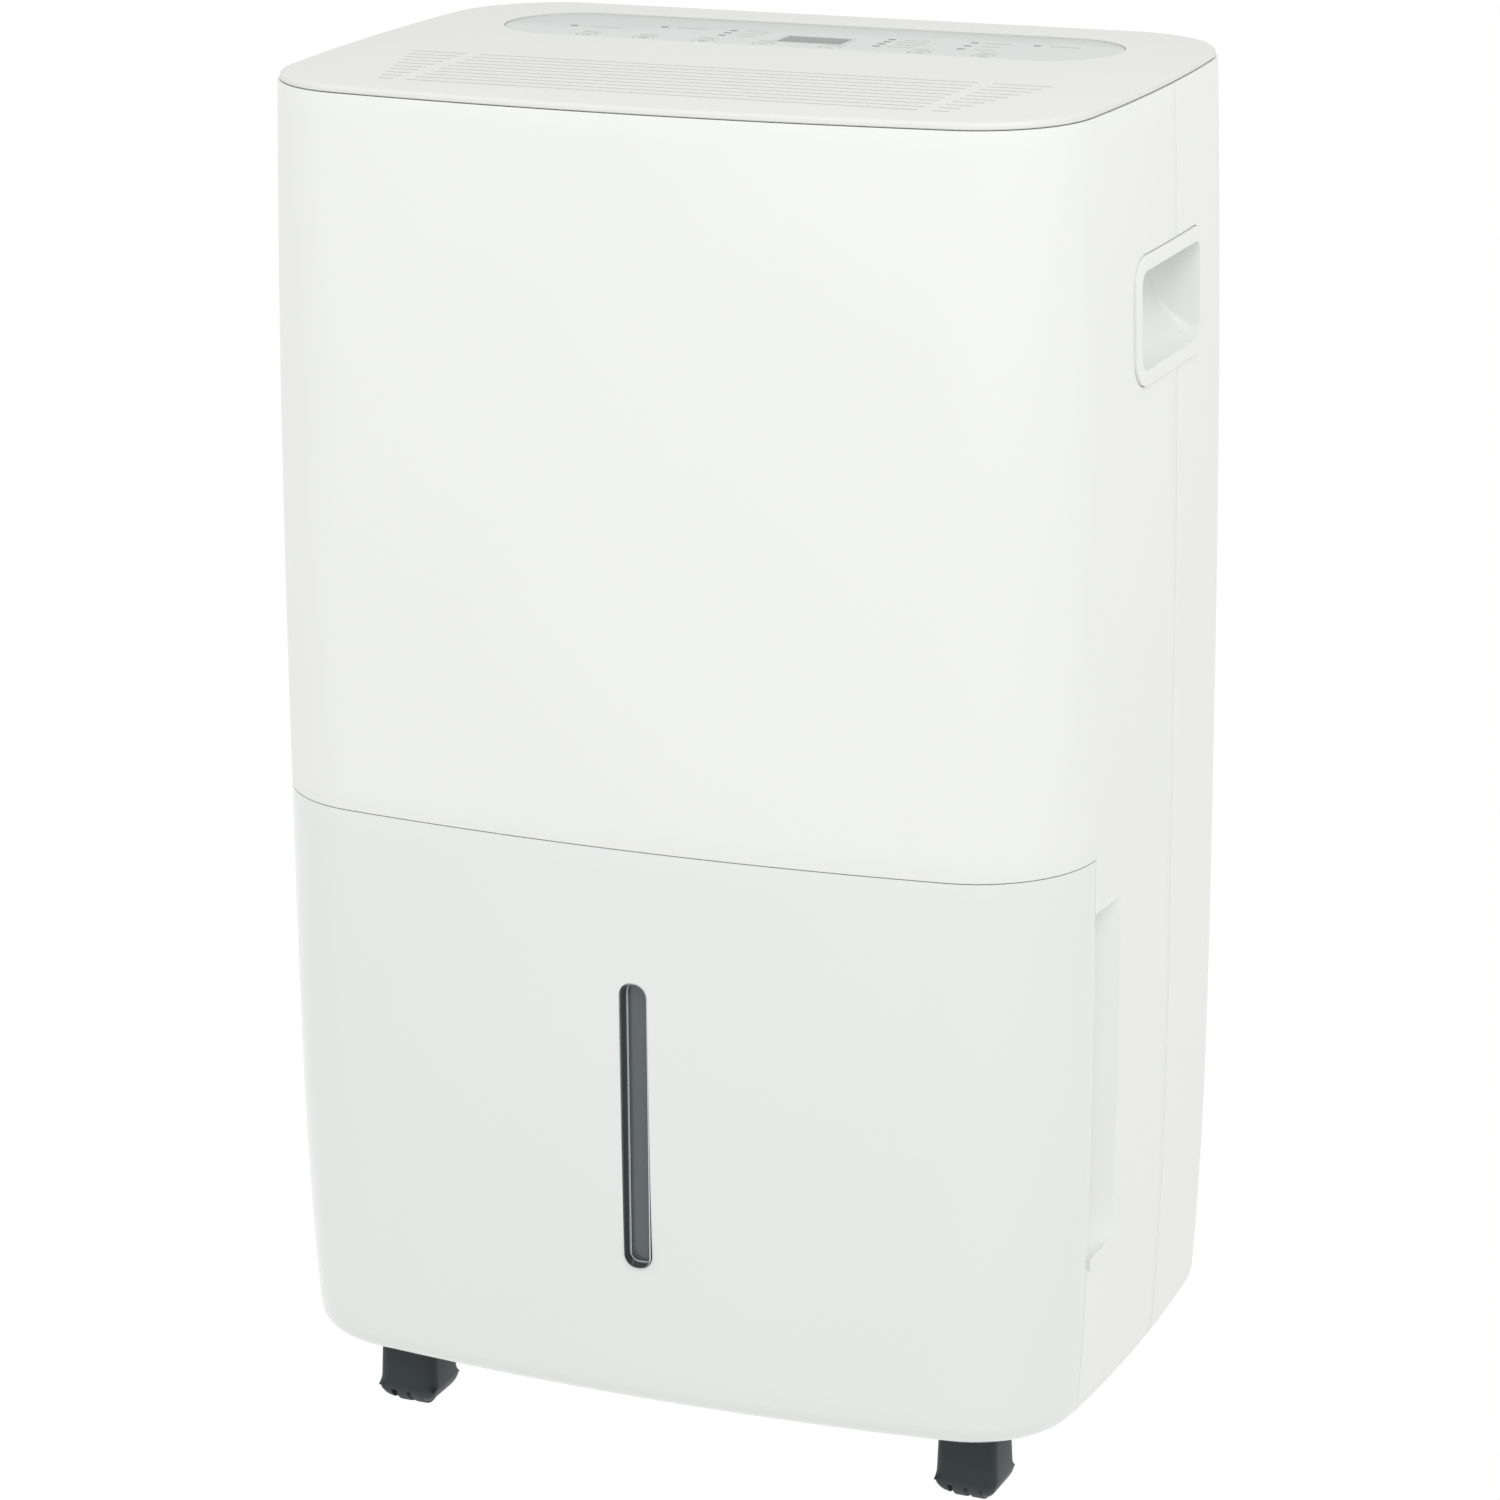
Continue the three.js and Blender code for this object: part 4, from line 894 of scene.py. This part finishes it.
# The long bars of each row and the short ones beyond the cross ribs.
def slotCutters():
    z = (cabinetTop - lid["plate"] - 4 * mm, cabinetTop + 4 * mm)
    bars = []
    for row in range(lid["rows"]):
        y = -halfDepth + lid["firstRow"] + row * lid["pitch"]
        end = halfWidth - lid["endMargin"] + row * lid["flare"]
        main = halfWidth - lid["ribMargin"]
        for x0, x1 in ((-main, main), (main + lid["rib"], end), (-end, -main - lid["rib"])):
            low = (x0, y - lid["slot"] / 2, z[0])
            high = (x1, y + lid["slot"] / 2, z[1])
            bars.append(roundedBlock("slotBar", low, high, "Z", lid["slot"] * 0.49, 3))
    return joined("slotBars", bars)


def topPanel():
    panel = skin("topPanel", lidLevels())
    closeRims(panel, cabinetTop - lid["plate"], cabinetTop)
    cutOut(panel, slotCutters())
    grow = lid["overlayFit"]
    low = (overlayLow.x - grow, overlayLow.y - grow, overlayLow.z - grow)
    high = (overlayHigh.x + grow, overlayHigh.y + grow, cabinetTop + 10 * mm)
    cutOut(panel, roundedBlock("overlayRecess", low, high, "Z", (high[1] - low[1]) * fullRound, 24))
    smooth(panel, 30)
    return dress(panel, lidWhite, "lid_white", "cabinet", "top_panel")


topPanel()
print("top panel made")

# Control panel.

keyNames = ["power", "filter", "fan", "down", "up", "timer", "mode"]
keyBoxes = {name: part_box(f"{name}_key") for name in keyNames}
lensLow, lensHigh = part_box("display_lens")


overlay = {
    "edge": 0.25 * mm,
    "keyFit": 0.35 * mm,
    "lensFit": 0.3 * mm,
    "lensCorner": 1.2 * mm,
    "lensEdge": 0.3 * mm,
    "outlineOut": 2.2 * mm,
    "outline": 0.5 * mm,
    "outlineCorner": 3 * mm,
}


def controlOverlay():
    p = overlay
    corner = (overlayHigh.y - overlayLow.y) * fullRound
    plate = roundedBlock("controlOverlay", overlayLow, overlayHigh, "Z", corner, 24)
    soften(plate, p["edge"], segments=2)
    under = overlayLow.z - 10 * mm
    holes = []
    for low, high in keyBoxes.values():
        centre = (low + high) / 2
        start = (centre.x, centre.y, under)
        holes.append(rod("keyHole", (high.x - low.x) / 2 + p["keyFit"], start, 30 * mm))
    low = (lensLow.x - p["lensFit"], lensLow.y - p["lensFit"], under)
    high = (lensHigh.x + p["lensFit"], lensHigh.y + p["lensFit"], overlayHigh.z + 10 * mm)
    holes.append(roundedBlock("lensHole", low, high, "Z", p["lensCorner"] + p["lensFit"], 5))
    cutOut(plate, joined("overlayHoles", holes))
    smooth(plate, 30)
    return dress(plate, overlayGrey, "overlay_grey", "cabinet", "control_overlay")


def displayLens():
    p = overlay
    lens = roundedBlock("displayLens", lensLow, lensHigh, "Z", p["lensCorner"], 5)
    soften(lens, p["lensEdge"], segments=3)
    smooth(lens)
    dress(lens, displayDark, "display_dark", "cabinet", "display_lens")
    out = p["outlineOut"]
    low = (lensLow.x - out, lensLow.y - out, overlayTop - 0.05 * mm)
    high = (lensHigh.x + out, lensHigh.y + out, overlayTop + 0.08 * mm)
    line = roundedBlock("displayOutline", low, high, "Z", p["outlineCorner"], 6)
    openPlate(line, "Z", p["outline"])
    dress(line, inkGrey, "overlay_grey", "cabinet")


# A round cap with a dished top and a soft edge.
def keyCap(name):
    low, high = keyBoxes[name]
    centre = (low + high) / 2
    radius = (high.x - low.x) / 2
    cap = rod(f"{name}Key", radius, (centre.x, centre.y, low.z), high.z - low.z, sides=40)
    with shaping(cap):
        grab("FACE", lambda f: f.normal.z > 0.9)
        bpy.ops.mesh.inset(thickness=radius * 0.25, depth=-0.1 * mm)
        bpy.ops.mesh.inset(thickness=radius * 0.35, depth=-0.06 * mm)
    soften(cap, 0.2 * mm, segments=2, angle=60)
    smooth(cap, 40)
    body = f"{name}_button"
    dress(cap, keyGrey, "overlay_grey", body, f"{name}_key")
    marks = keyMarks(name, centre, high.z - 0.16 * mm, radius)
    dress(marks, inkGrey, "overlay_grey", body)


inkThick = 0.12 * mm


# A thin plate with the corners given, as printed ink.
def flatMark(points, z):
    bpy.ops.object.select_all(action="DESELECT")
    bpy.ops.mesh.primitive_circle_add(vertices=len(points), radius=1, fill_type="NGON")
    mark = named("mark")
    for vertex, (x, y) in zip(mark.data.vertices, points):
        vertex.co = (x, y, z)
    with shaping(mark):
        bpy.ops.mesh.select_all(action="SELECT")
        bpy.ops.mesh.extrude_region_move(TRANSFORM_OT_translate={"value": (0, 0, inkThick)})
        bpy.ops.mesh.select_all(action="SELECT")
        bpy.ops.mesh.normals_make_consistent(inside=False)
    return mark


def bar(x, y, length, width, z, turn=0.0):
    c, s = math.cos(turn), math.sin(turn)
    a, b = length / 2, width / 2
    corners = [(-a, -b), (a, -b), (a, b), (-a, b)]
    return flatMark([(x + c * u - s * v, y + s * u + c * v) for u, v in corners], z)


def ringMark(x, y, radius, width, z):
    ring = rod("ringMark", radius, (x, y, z), inkThick, sides=28)
    openPlate(ring, "Z", width)
    return ring


def keyMarks(name, centre, z, radius):
    x, y, r = centre.x, centre.y, radius * 0.5
    line = 0.45 * mm
    if name == "up":
        marks = [flatMark([(x - r, y - r * 0.6), (x + r, y - r * 0.6), (x, y + r * 0.7)], z)]
    elif name == "down":
        marks = [flatMark([(x - r, y + r * 0.6), (x, y - r * 0.7), (x + r, y + r * 0.6)], z)]
    elif name == "power":
        marks = [ringMark(x, y, r, line, z), bar(x, y + r * 0.8, line, r, z)]
    elif name == "fan":
        turns = (0, math.pi / 3, 2 * math.pi / 3)
        marks = [bar(x, y, 2 * r, line * 1.4, z, turn) for turn in turns]
    elif name == "timer":
        hands = [bar(x, y + r * 0.3, line, r * 0.7, z), bar(x + r * 0.3, y, r * 0.7, line, z)]
        marks = [ringMark(x, y, r, line, z)] + hands
    elif name == "filter":
        marks = [bar(x, y + shift * r, 1.8 * r, line, z) for shift in (-0.8, -0.27, 0.27, 0.8)]
    else:
        marks = [ringMark(x, y, r, line, z), bar(x, y, r * 0.8, r * 0.8, z)]
    return joined(f"{name}KeyMark", marks)


# Columns of indicators in mm: the place across, the step to its legends, and each row's height
# and legend length.
indicatorColumns = [
    (-114, 16, [(67, 16)]),
    (-73, 14, [(76, 14)]),
    (-39, 12, [(76, 10), (69, 12), (62, 9)]),
    (38, 12, [(75, 12), (68.5, 14), (62, 11), (55.5, 13)]),
    (76, 11, [(78, 12), (69, 9), (60, 10)]),
    (105, 13, [(79, 14)]),
]
indicator = {"halfLength": 1.9, "halfWidth": 1.1, "corner": 1 * mm, "legend": 1.3 * mm}
keyLegend = {"above": 2.6 * mm, "length": 9 * mm, "width": 1.2 * mm}


# Indicator windows and plain legend dashes on the overlay.
def panelPrint():
    z = overlayTop - 0.03 * mm
    windows, legends = [], []
    rows = [(x, y, step, length) for x, step, column in indicatorColumns for y, length in column]
    for x, y, step, length in rows:
        a, b = indicator["halfLength"], indicator["halfWidth"]
        low, high = ((x - a) * mm, (y - b) * mm, z), ((x + a) * mm, (y + b) * mm, z + inkThick)
        windows.append(roundedBlock("led", low, high, "Z", indicator["corner"], 3))
    dress(joined("indicatorWindows", windows), ledDark, "display_dark", "cabinet")
    for x, y, step, length in rows:
        legends.append(bar((x + step) * mm, y * mm, length * mm, indicator["legend"], z))
    for low, high in keyBoxes.values():
        x, y = (low.x + high.x) / 2, high.y + keyLegend["above"]
        legends.append(bar(x, y, keyLegend["length"], keyLegend["width"], z))
    dress(joined("panelLegends", legends), inkGrey, "overlay_grey", "cabinet")


controlOverlay()
displayLens()
for keyName in keyNames:
    keyCap(keyName)
panelPrint()
print("control panel made")

# Bucket tank.


tank = {
    "behindFace": 18 * mm,
    "wall": 2.5 * mm,
    "corner": 30 * mm,
    "bottomRound": 9 * mm,
    "round": 1.2 * mm,
    "rib": 2.4 * mm,
    "ribUp": 20 * mm,
    "ribDown": 8 * mm,
    "ribGap": 4 * mm,
}


# An open tub, hung behind the bucket front on two ribs.
def bucketTank():
    t = tank
    low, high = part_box("bucket_tank")
    front = -halfDepth + t["behindFace"]
    tub = roundedBlock("bucketTank", (low.x, front, low.z), high, "Z", t["corner"], 10)

    def isBottomEdge(edge):
        level = abs(edge.verts[0].co.z - edge.verts[1].co.z) < 0.1 * mm
        return level and middle(edge).z < low.z + mm

    with shaping(tub):
        grab("EDGE", isBottomEdge)
        bpy.ops.mesh.bevel(offset=t["bottomRound"], segments=6, affect="EDGES", clamp_overlap=True)
        grab("FACE", lambda f: f.normal.z > 0.9)
        bpy.ops.mesh.inset(thickness=t["wall"], depth=0)
        down = -(high.z - low.z - t["wall"])
        bpy.ops.mesh.extrude_region_move(TRANSFORM_OT_translate={"value": (0, 0, down)})
    soften(tub, t["round"], segments=3, angle=50)
    grow, near, far = sight["fit"], front - 10 * mm, front + 10 * mm
    cutOut(tub, windowBlock("tankHole", -grow, -grow, near, far, sight["corner"], 6))
    foot = low.z + t["ribUp"]
    ribs = []
    for x in (low.x / 2, high.x / 2):
        ribLow = (x - t["rib"] / 2, max(insetAt(foot), 0) - halfDepth + t["ribGap"], foot)
        ribHigh = (x + t["rib"] / 2, front + 1 * mm, high.z - t["ribDown"])
        ribs.append(roundedBlock("tankRib", ribLow, ribHigh, "Z", t["rib"] / 4, 3))
    cutOut(tub, *ribs, operation="UNION")
    smooth(tub)
    return dress(tub, milkyWhite, "milky_plastic", "bucket", "bucket_tank")


bucketTank()
print("bucket tank made")

# Casters.


caster = {
    "round": 10 * mm,
    "corner": 6 * mm,
    "edge": 2.4 * mm,
    "topShrink": 0.93,
    "well": 8 * mm,
    "wellFit": 1.4 * mm,
    "notch": 6 * mm,
    "notchTop": 8.5 * mm,
    "trail": 6 * mm,
    "plate": 11 * mm,
    "stem": 5 * mm,
}


# A rounded hood with a well for the wheel, on a swivel plate and stem.
def casterHood(place):
    c = caster
    low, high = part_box(f"caster_hood_{place}")
    wheelLow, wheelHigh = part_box(f"caster_wheel_{place}")
    wheelAt = (wheelLow + wheelHigh) / 2
    top = underside - 2 * mm
    hood = block(f"casterHood_{place}", low, (high.x, high.y, top))
    with shaping(hood):
        grab("EDGE", lambda e: middle(e).z < low.z + mm)
        bpy.ops.mesh.bevel(offset=c["round"], segments=8, affect="EDGES", clamp_overlap=True)
        grab("EDGE", lambda e: along(e, 2) and middle(e).z > low.z + c["round"])
        bpy.ops.mesh.bevel(offset=c["corner"], segments=5, affect="EDGES", clamp_overlap=True)
        mesh = bmesh.from_edit_mesh(hood.data)
        for vertex in mesh.verts:  # the sides lean in above their fullest part
            up = max(0, vertex.co.z - low.z - c["round"]) / (top - low.z - c["round"])
            share = 1 - (1 - c["topShrink"]) * up
            for axis in (0, 1):
                vertex.co[axis] = wheelAt[axis] + (vertex.co[axis] - wheelAt[axis]) * share
        bmesh.update_edit_mesh(hood.data)
    soften(hood, c["edge"], segments=3, angle=30)
    reach = (wheelHigh.z - wheelLow.z) / 2 + c["wellFit"]
    sides = (wheelAt.x - c["well"], wheelAt.x + c["well"])
    well = rod("wheelWell", reach, (sides[0], wheelAt.y, wheelAt.z), 2 * c["well"], "X", 40)
    mouthLow = (sides[0], wheelAt.y - reach, -5 * mm)
    below = block("wellMouth", mouthLow, (sides[1], wheelAt.y + reach, wheelAt.z))
    notchLow = (wheelAt.x - c["notch"], low.y - 5 * mm, -5 * mm)
    notchHigh = (wheelAt.x + c["notch"], wheelAt.y, c["notchTop"])
    notch = roundedBlock("hoodNotch", notchLow, notchHigh, "Y", 1.5 * mm, 3)
    cutOut(hood, well, below, notch)
    swivelAt = (wheelAt.x, wheelAt.y + c["trail"], top - 1 * mm)
    plate = rod("swivelPlate", c["plate"], swivelAt, 1.8 * mm, sides=40)
    stem = rod("casterStem", c["stem"], swivelAt, high.z - top + 1 * mm, sides=24)
    cutOut(hood, plate, stem, operation="UNION")
    smooth(hood, 38)
    return hood


roller = {
    "groove": 1 * mm,
    "grooveShrink": 0.86,
    "hub": 0.3,
    "hubDeep": 0.8 * mm,
    "edge": 0.7 * mm,
    "bore": 2.3 * mm,
}


# Two treads with a groove between them and a dished hub on each face.
def casterWheel(place):
    r = roller
    low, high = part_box(f"caster_wheel_{place}")
    centre = (low + high) / 2
    width, radius = high.x - low.x, (high.z - low.z) / 2
    wheel = rod(f"casterWheel_{place}", radius, (low.x, centre.y, centre.z), width, "X", 56)

    def isGroove(face):
        return abs(face.normal.x) < 0.1 and offCentre(face) < 0.9 * mm

    def isHub(face):
        return abs(face.normal.x) > 0.9 and abs(offCentre(face) - width / 2) < 0.1 * mm

    def offCentre(face):
        return abs(face.calc_center_median().x - centre.x)

    with shaping(wheel):
        for x in (centre.x - r["groove"], centre.x + r["groove"]):
            bpy.ops.mesh.select_all(action="SELECT")
            bpy.ops.mesh.bisect(plane_co=(x, 0, 0), plane_no=(1, 0, 0))
        grab("FACE", isGroove)
        bpy.ops.mesh.extrude_region_move(TRANSFORM_OT_translate={"value": (0, 0, 0)})
        shrink = (1, r["grooveShrink"], r["grooveShrink"])
        bpy.ops.transform.resize(value=shrink, center_override=centre)
        grab("FACE", isHub)
        bpy.ops.mesh.inset(thickness=radius * r["hub"], depth=-r["hubDeep"], use_individual=True)
    soften(wheel, r["edge"], segments=3, angle=50)
    boreAt = (low.x - 5 * mm, centre.y, centre.z)
    cutOut(wheel, rod("axleHole", r["bore"], boreAt, width + 10 * mm, "X", 20))
    smooth(wheel, 40)
    return wheel


casterPlaces = ("front_left", "front_right", "rear_left", "rear_right")
firstHood, firstWheel = casterHood(casterPlaces[0]), casterWheel(casterPlaces[0])
for place in casterPlaces:
    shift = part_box(f"caster_hood_{place}")[0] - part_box(f"caster_hood_{casterPlaces[0]}")[0]
    again = place != casterPlaces[0]
    hood = copyOf(firstHood, f"casterHood_{place}", shift) if again else firstHood
    wheel = copyOf(firstWheel, f"casterWheel_{place}", shift) if again else firstWheel
    dress(hood, hoodBlack, "black_plastic", f"caster_{place}", f"caster_hood_{place}")
    dress(wheel, treadBlack, "caster_tread", f"wheel_{place}", f"caster_wheel_{place}")
print("casters made")

# Rear: filter door, filter, drain, gland, screws.


door = {
    "rows": 12,
    "columns": 2,
    "slot": 12 * mm,
    "slotCorner": 3 * mm,
    "border": 12 * mm,
    "thick": 2.6 * mm,
    "hinge": 1.5 * mm,
    "pullHalf": 28 * mm,
    "pullTop": 3.5 * mm,
    "pullBottom": 8.5 * mm,
    "pullCorner": 2.4 * mm,
    "pullDeep": 12 * mm,
}


# A thin leaf that follows the back wall, with louvre slots, a hinge bar and a finger pull.
def filterDoor():
    d = door
    low, high = doorLow, doorHigh
    bottom = low.z + d["hinge"]
    bpy.ops.object.select_all(action="DESELECT")
    turn = (math.pi / 2, 0, 0)
    bpy.ops.mesh.primitive_grid_add(x_subdivisions=24, y_subdivisions=40, size=1, rotation=turn)
    leaf = named("filterDoor")
    for vertex in leaf.data.vertices:
        z = bottom + (vertex.co.z + 0.5) * (high.z - bottom)
        vertex.co = (vertex.co.x * (high.x - low.x), halfDepth - insetAt(z), z)
    if leaf.data.polygons[0].normal.y < 0:
        flipFaces(leaf)
    thicken(leaf, d["thick"])
    pitch = (high.z - bottom - 2 * d["border"]) / d["rows"]
    width = (high.x - low.x - d["border"]) / d["columns"]
    near, far = halfDepth - rear["reach"], halfDepth + beyond
    slots = []
    for row in range(d["rows"]):
        z = bottom + d["border"] + (row + 0.5) * pitch
        for column in range(d["columns"]):
            x = low.x + d["border"] + column * width
            slotLow = (x, near, z - d["slot"] / 2)
            slotHigh = (x + width - d["border"], far, z + d["slot"] / 2)
            slots.append(roundedBlock("doorSlot", slotLow, slotHigh, "Y", d["slotCorner"], 5))
    cutOut(leaf, joined("doorSlots", slots))
    hingeAt = (low.x, halfDepth - d["hinge"], bottom)
    hinge = rod("doorHinge", d["hinge"], hingeAt, high.x - low.x, "X", 20)
    cutOut(leaf, hinge, operation="UNION")
    pullLow = (-d["pullHalf"], halfDepth - d["pullDeep"], high.z - d["pullBottom"])
    pullHigh = (d["pullHalf"], halfDepth + 10 * mm, high.z - d["pullTop"])
    cutOut(leaf, roundedBlock("doorPull", pullLow, pullHigh, "Y", d["pullCorner"], 5))
    smooth(leaf, 30)
    return dress(leaf, bodyWhite, "body_white", "door", "filter_door")


netting = {
    "frame": 6 * mm,
    "corner": 3 * mm,
    "columns": 4,
    "rows": 4,
    "behind": 0.5 * mm,
    "net": 1.2 * mm,
    "edge": 0.5 * mm,
}


# A net in a frame with cross bars.
def airFilter():
    f = netting
    low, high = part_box("air_filter")
    border = f["frame"]
    near = low.y + f["behind"]
    netHigh = (high.x - border, near + f["net"], high.z - border)
    net = block("filterNet", (low.x + border, near, low.z + border), netHigh)
    with shaping(net):
        bpy.ops.mesh.select_all(action="SELECT")
        bpy.ops.mesh.subdivide(number_cuts=6)
    dress(net, filterNet, "filter_mesh", "door")
    bars = roundedBlock("filterFrame", low, high, "Y", f["corner"], 4)
    stepX = (high.x - low.x - border) / f["columns"]
    stepZ = (high.z - low.z - border) / f["rows"]
    cells = []
    for i in range(f["columns"]):
        for j in range(f["rows"]):
            x, z = low.x + border + i * stepX, low.z + border + j * stepZ
            cellHigh = (x + stepX - border, high.y + 10 * mm, z + stepZ - border)
            cellLow = (x, low.y - 10 * mm, z)
            cells.append(roundedBlock("filterCell", cellLow, cellHigh, "Y", f["corner"], 4))
    cutOut(bars, joined("filterCells", cells))
    soften(bars, f["edge"], segments=2, angle=50)
    smooth(bars)
    dress(bars, filterFrame, "filter_mesh", "door", "air_filter")


stopper = {
    "head": 5 * mm,
    "rim": 1.6 * mm,
    "dish": 1 * mm,
    "edge": 0.6 * mm,
    "tabHalf": 5 * mm,
    "tabDeep": 2.5 * mm,
    "tabThick": 1.2 * mm,
    "stub": 4.2 * mm,
}


# A dished head with a pull tab across it, on a round stub.
def drainPlug():
    p = stopper
    low, high = plugLow, plugHigh
    centre = (low + high) / 2
    headY = high.y - p["head"]
    headAt = (centre.x, headY, centre.z)
    plug = rod("drainPlug", (high.x - low.x) / 2, headAt, p["head"], "Y", 48)
    with shaping(plug):
        grab("FACE", lambda f: f.normal.y > 0.9)
        bpy.ops.mesh.inset(thickness=p["rim"], depth=-p["dish"])
    soften(plug, p["edge"], segments=3, angle=50)
    tabLow = (centre.x - p["tabHalf"], high.y - p["tabDeep"], centre.z - p["tabThick"])
    tabHigh = (centre.x + p["tabHalf"], high.y, centre.z + p["tabThick"])
    tab = roundedBlock("plugTab", tabLow, tabHigh, "Y", 1 * mm, 4)
    length = headY - low.y + 1 * mm
    stub = rod("plugStub", p["stub"], (centre.x, low.y, centre.z), length, "Y", 32)
    cutOut(plug, tab, stub, operation="UNION")
    smooth(plug)
    return dress(plug, rubberBlack, "rubber", "plug", "drain_plug")


gland = {"flange": 2.6 * mm, "edge": 0.8 * mm, "neck": 8 * mm, "bore": 3.6 * mm}


# A flanged bush with a bore for the cord.
def cordGland():
    g = gland
    low, high = glandLow, glandHigh
    centre = (low + high) / 2
    flangeAt = (centre.x, high.y - g["flange"], centre.z)
    bush = rod("cordGland", (high.x - low.x) / 2, flangeAt, g["flange"], "Y", 48)
    soften(bush, g["edge"], segments=3)
    length = high.y - low.y - 1 * mm
    neck = rod("glandNeck", g["neck"], (centre.x, low.y, centre.z), length, "Y", 40)
    cutOut(bush, neck, operation="UNION")
    boreAt = (centre.x, low.y - 10 * mm, centre.z)
    cutOut(bush, rod("glandBore", g["bore"], boreAt, 50 * mm, "Y", 32))
    smooth(bush)
    return dress(bush, panBlack, "black_plastic", "cabinet", "cord_gland")


screwSize = {
    "head": 3.5 * mm,
    "thick": 2.4 * mm,
    "edge": 0.5 * mm,
    "crossLong": 2.2 * mm,
    "crossWide": 0.4 * mm,
    "crossDeep": 1.4 * mm,
    "shank": 1.8 * mm,
}


# A softened head with a cross cut into it, on a plain shank.
def housingScrew(index):
    k = screwSize
    low, high = screwBoxes[index]
    centre = (low + high) / 2
    headAt = (centre.x, high.y - k["thick"], centre.z)
    made = rod(f"housingScrew{index + 1}", k["head"], headAt, k["thick"], "Y", 28)
    soften(made, k["edge"], segments=2)
    for x, z in ((k["crossWide"], k["crossLong"]), (k["crossLong"], k["crossWide"])):
        crossLow = (centre.x - x, high.y - k["crossDeep"], centre.z - z)
        crossHigh = (centre.x + x, high.y + 1 * mm, centre.z + z)
        cutOut(made, block("screwCross", crossLow, crossHigh))
    length = high.y - low.y - 2 * mm
    shank = rod("screwShank", k["shank"], (centre.x, low.y, centre.z), length, "Y", 16)
    cutOut(made, shank, operation="UNION")
    smooth(made)
    return made


filterDoor()
airFilter()
drainPlug()
cordGland()
firstScrew = housingScrew(0)
for index in range(4):
    shift = screwBoxes[index][1] - screwBoxes[0][1]
    screw = copyOf(firstScrew, f"housingScrew{index + 1}", shift) if index else firstScrew
    dress(screw, plainSteel, "steel", "cabinet", f"housing_screw_{index + 1}")
print("rear pieces made")

bpy.data.objects.remove(wholeSkin)

# Inner pieces keep their shape and get a finish.

axles = [f"caster_axle_{place}" for place in casterPlaces]
grommets = [f"compressor_grommet_{i}" for i in (1, 2, 3)]
finishes = [
    (boardGreen, ["control_board"]),
    (panBlack, ["base_pan", "drip_tray", "fan_scroll", "blower_wheel", "drain_spigot"]),
    (milkyWhite, ["bay_partition", "control_box"]),
    (plainSteel, ["float_pin", "motor_shaft", "fan_motor", "motor_bracket", *axles]),
    (floatFoam, ["bucket_float"]),
    (coilMetal, ["evaporator_coil", "condenser_coil"]),
    (canBlack, ["compressor", "accumulator"]),
    (rubberBlack, grommets),
    (copperTube, ["discharge_pipe", "suction_pipe"]),
]
for finish, nodeNames in finishes:
    for nodeName in nodeNames:
        for slotOfNode in nodes[nodeName].material_slots:
            slotOfNode.material = finish
print("inner pieces finished")

# Camera, floor and light.

view = {
    "eye": (0.852, -2.0232, 0.9684),
    "azimuth": 23.88,
    "elevation": 16.9,
    "roll": -0.72,
    "lens": 121.4,
    "shift": (0.0564, 0.0122),
}


def makeCamera():
    az, el, roll = (math.radians(view[key]) for key in ("azimuth", "elevation", "roll"))
    forward = -Vector((math.sin(az) * math.cos(el), -math.cos(az) * math.cos(el), math.sin(el)))
    right = forward.cross(Vector((0, 0, 1))).normalized()
    up = right.cross(forward)
    turnedRight = math.cos(roll) * right + math.sin(roll) * up
    turnedUp = -math.sin(roll) * right + math.cos(roll) * up
    lens = bpy.data.cameras.new("camera")
    lens.lens = view["lens"]
    lens.sensor_width = 36
    lens.shift_x, lens.shift_y = view["shift"]
    camera = bpy.data.objects.new("camera", lens)
    bpy.context.scene.collection.objects.link(camera)
    turn = Matrix((turnedRight, turnedUp, -forward)).transposed().to_4x4()
    camera.matrix_world = Matrix.Translation(view["eye"]) @ turn
    bpy.context.scene.camera = camera


studio = {
    "floor": 60,
    "world": 0.88,
    "keyLight": {"at": (1.05, -1.15, 1.9), "target": (0, 0, 0.55), "size": (1.3, 0.9), "power": 14},
    "fillLight": {"at": (-1.3, -1.3, 2.0), "target": (0, 0, 0.6), "size": (1.2, 1.2), "power": 6},
}


def makeLight(name, at, target, size, power):
    lamp = bpy.data.lights.new(name, "AREA")
    lamp.shape = "RECTANGLE"
    lamp.size, lamp.size_y = size
    lamp.energy = power
    made = bpy.data.objects.new(name, lamp)
    bpy.context.scene.collection.objects.link(made)
    turn = (Vector(target) - Vector(at)).to_track_quat("-Z", "Y").to_matrix().to_4x4()
    made.matrix_world = Matrix.Translation(at) @ turn


def makeStage():
    bpy.ops.object.select_all(action="DESELECT")
    bpy.ops.mesh.primitive_plane_add(size=studio["floor"])
    floor = named("studioFloor")
    paint = Shader("studioFloorPaint", (0, 0, 0), 1, Specular_IOR_Level=0, Emission_Strength=1)
    paint.main.inputs["Emission Color"].default_value = (1, 1, 1, 1)
    floor.data.materials.append(paint.material)
    world = bpy.data.worlds.new("studio")
    world.use_nodes = True
    background = world.node_tree.nodes["Background"]
    background.inputs["Color"].default_value = (1, 1, 1, 1)
    background.inputs["Strength"].default_value = studio["world"]
    bpy.context.scene.world = world
    for lamp in ("keyLight", "fillLight"):
        makeLight(lamp, **studio[lamp])
    bpy.context.scene.view_settings.view_transform = "Standard"


makeCamera()
makeStage()
print("camera and light set")
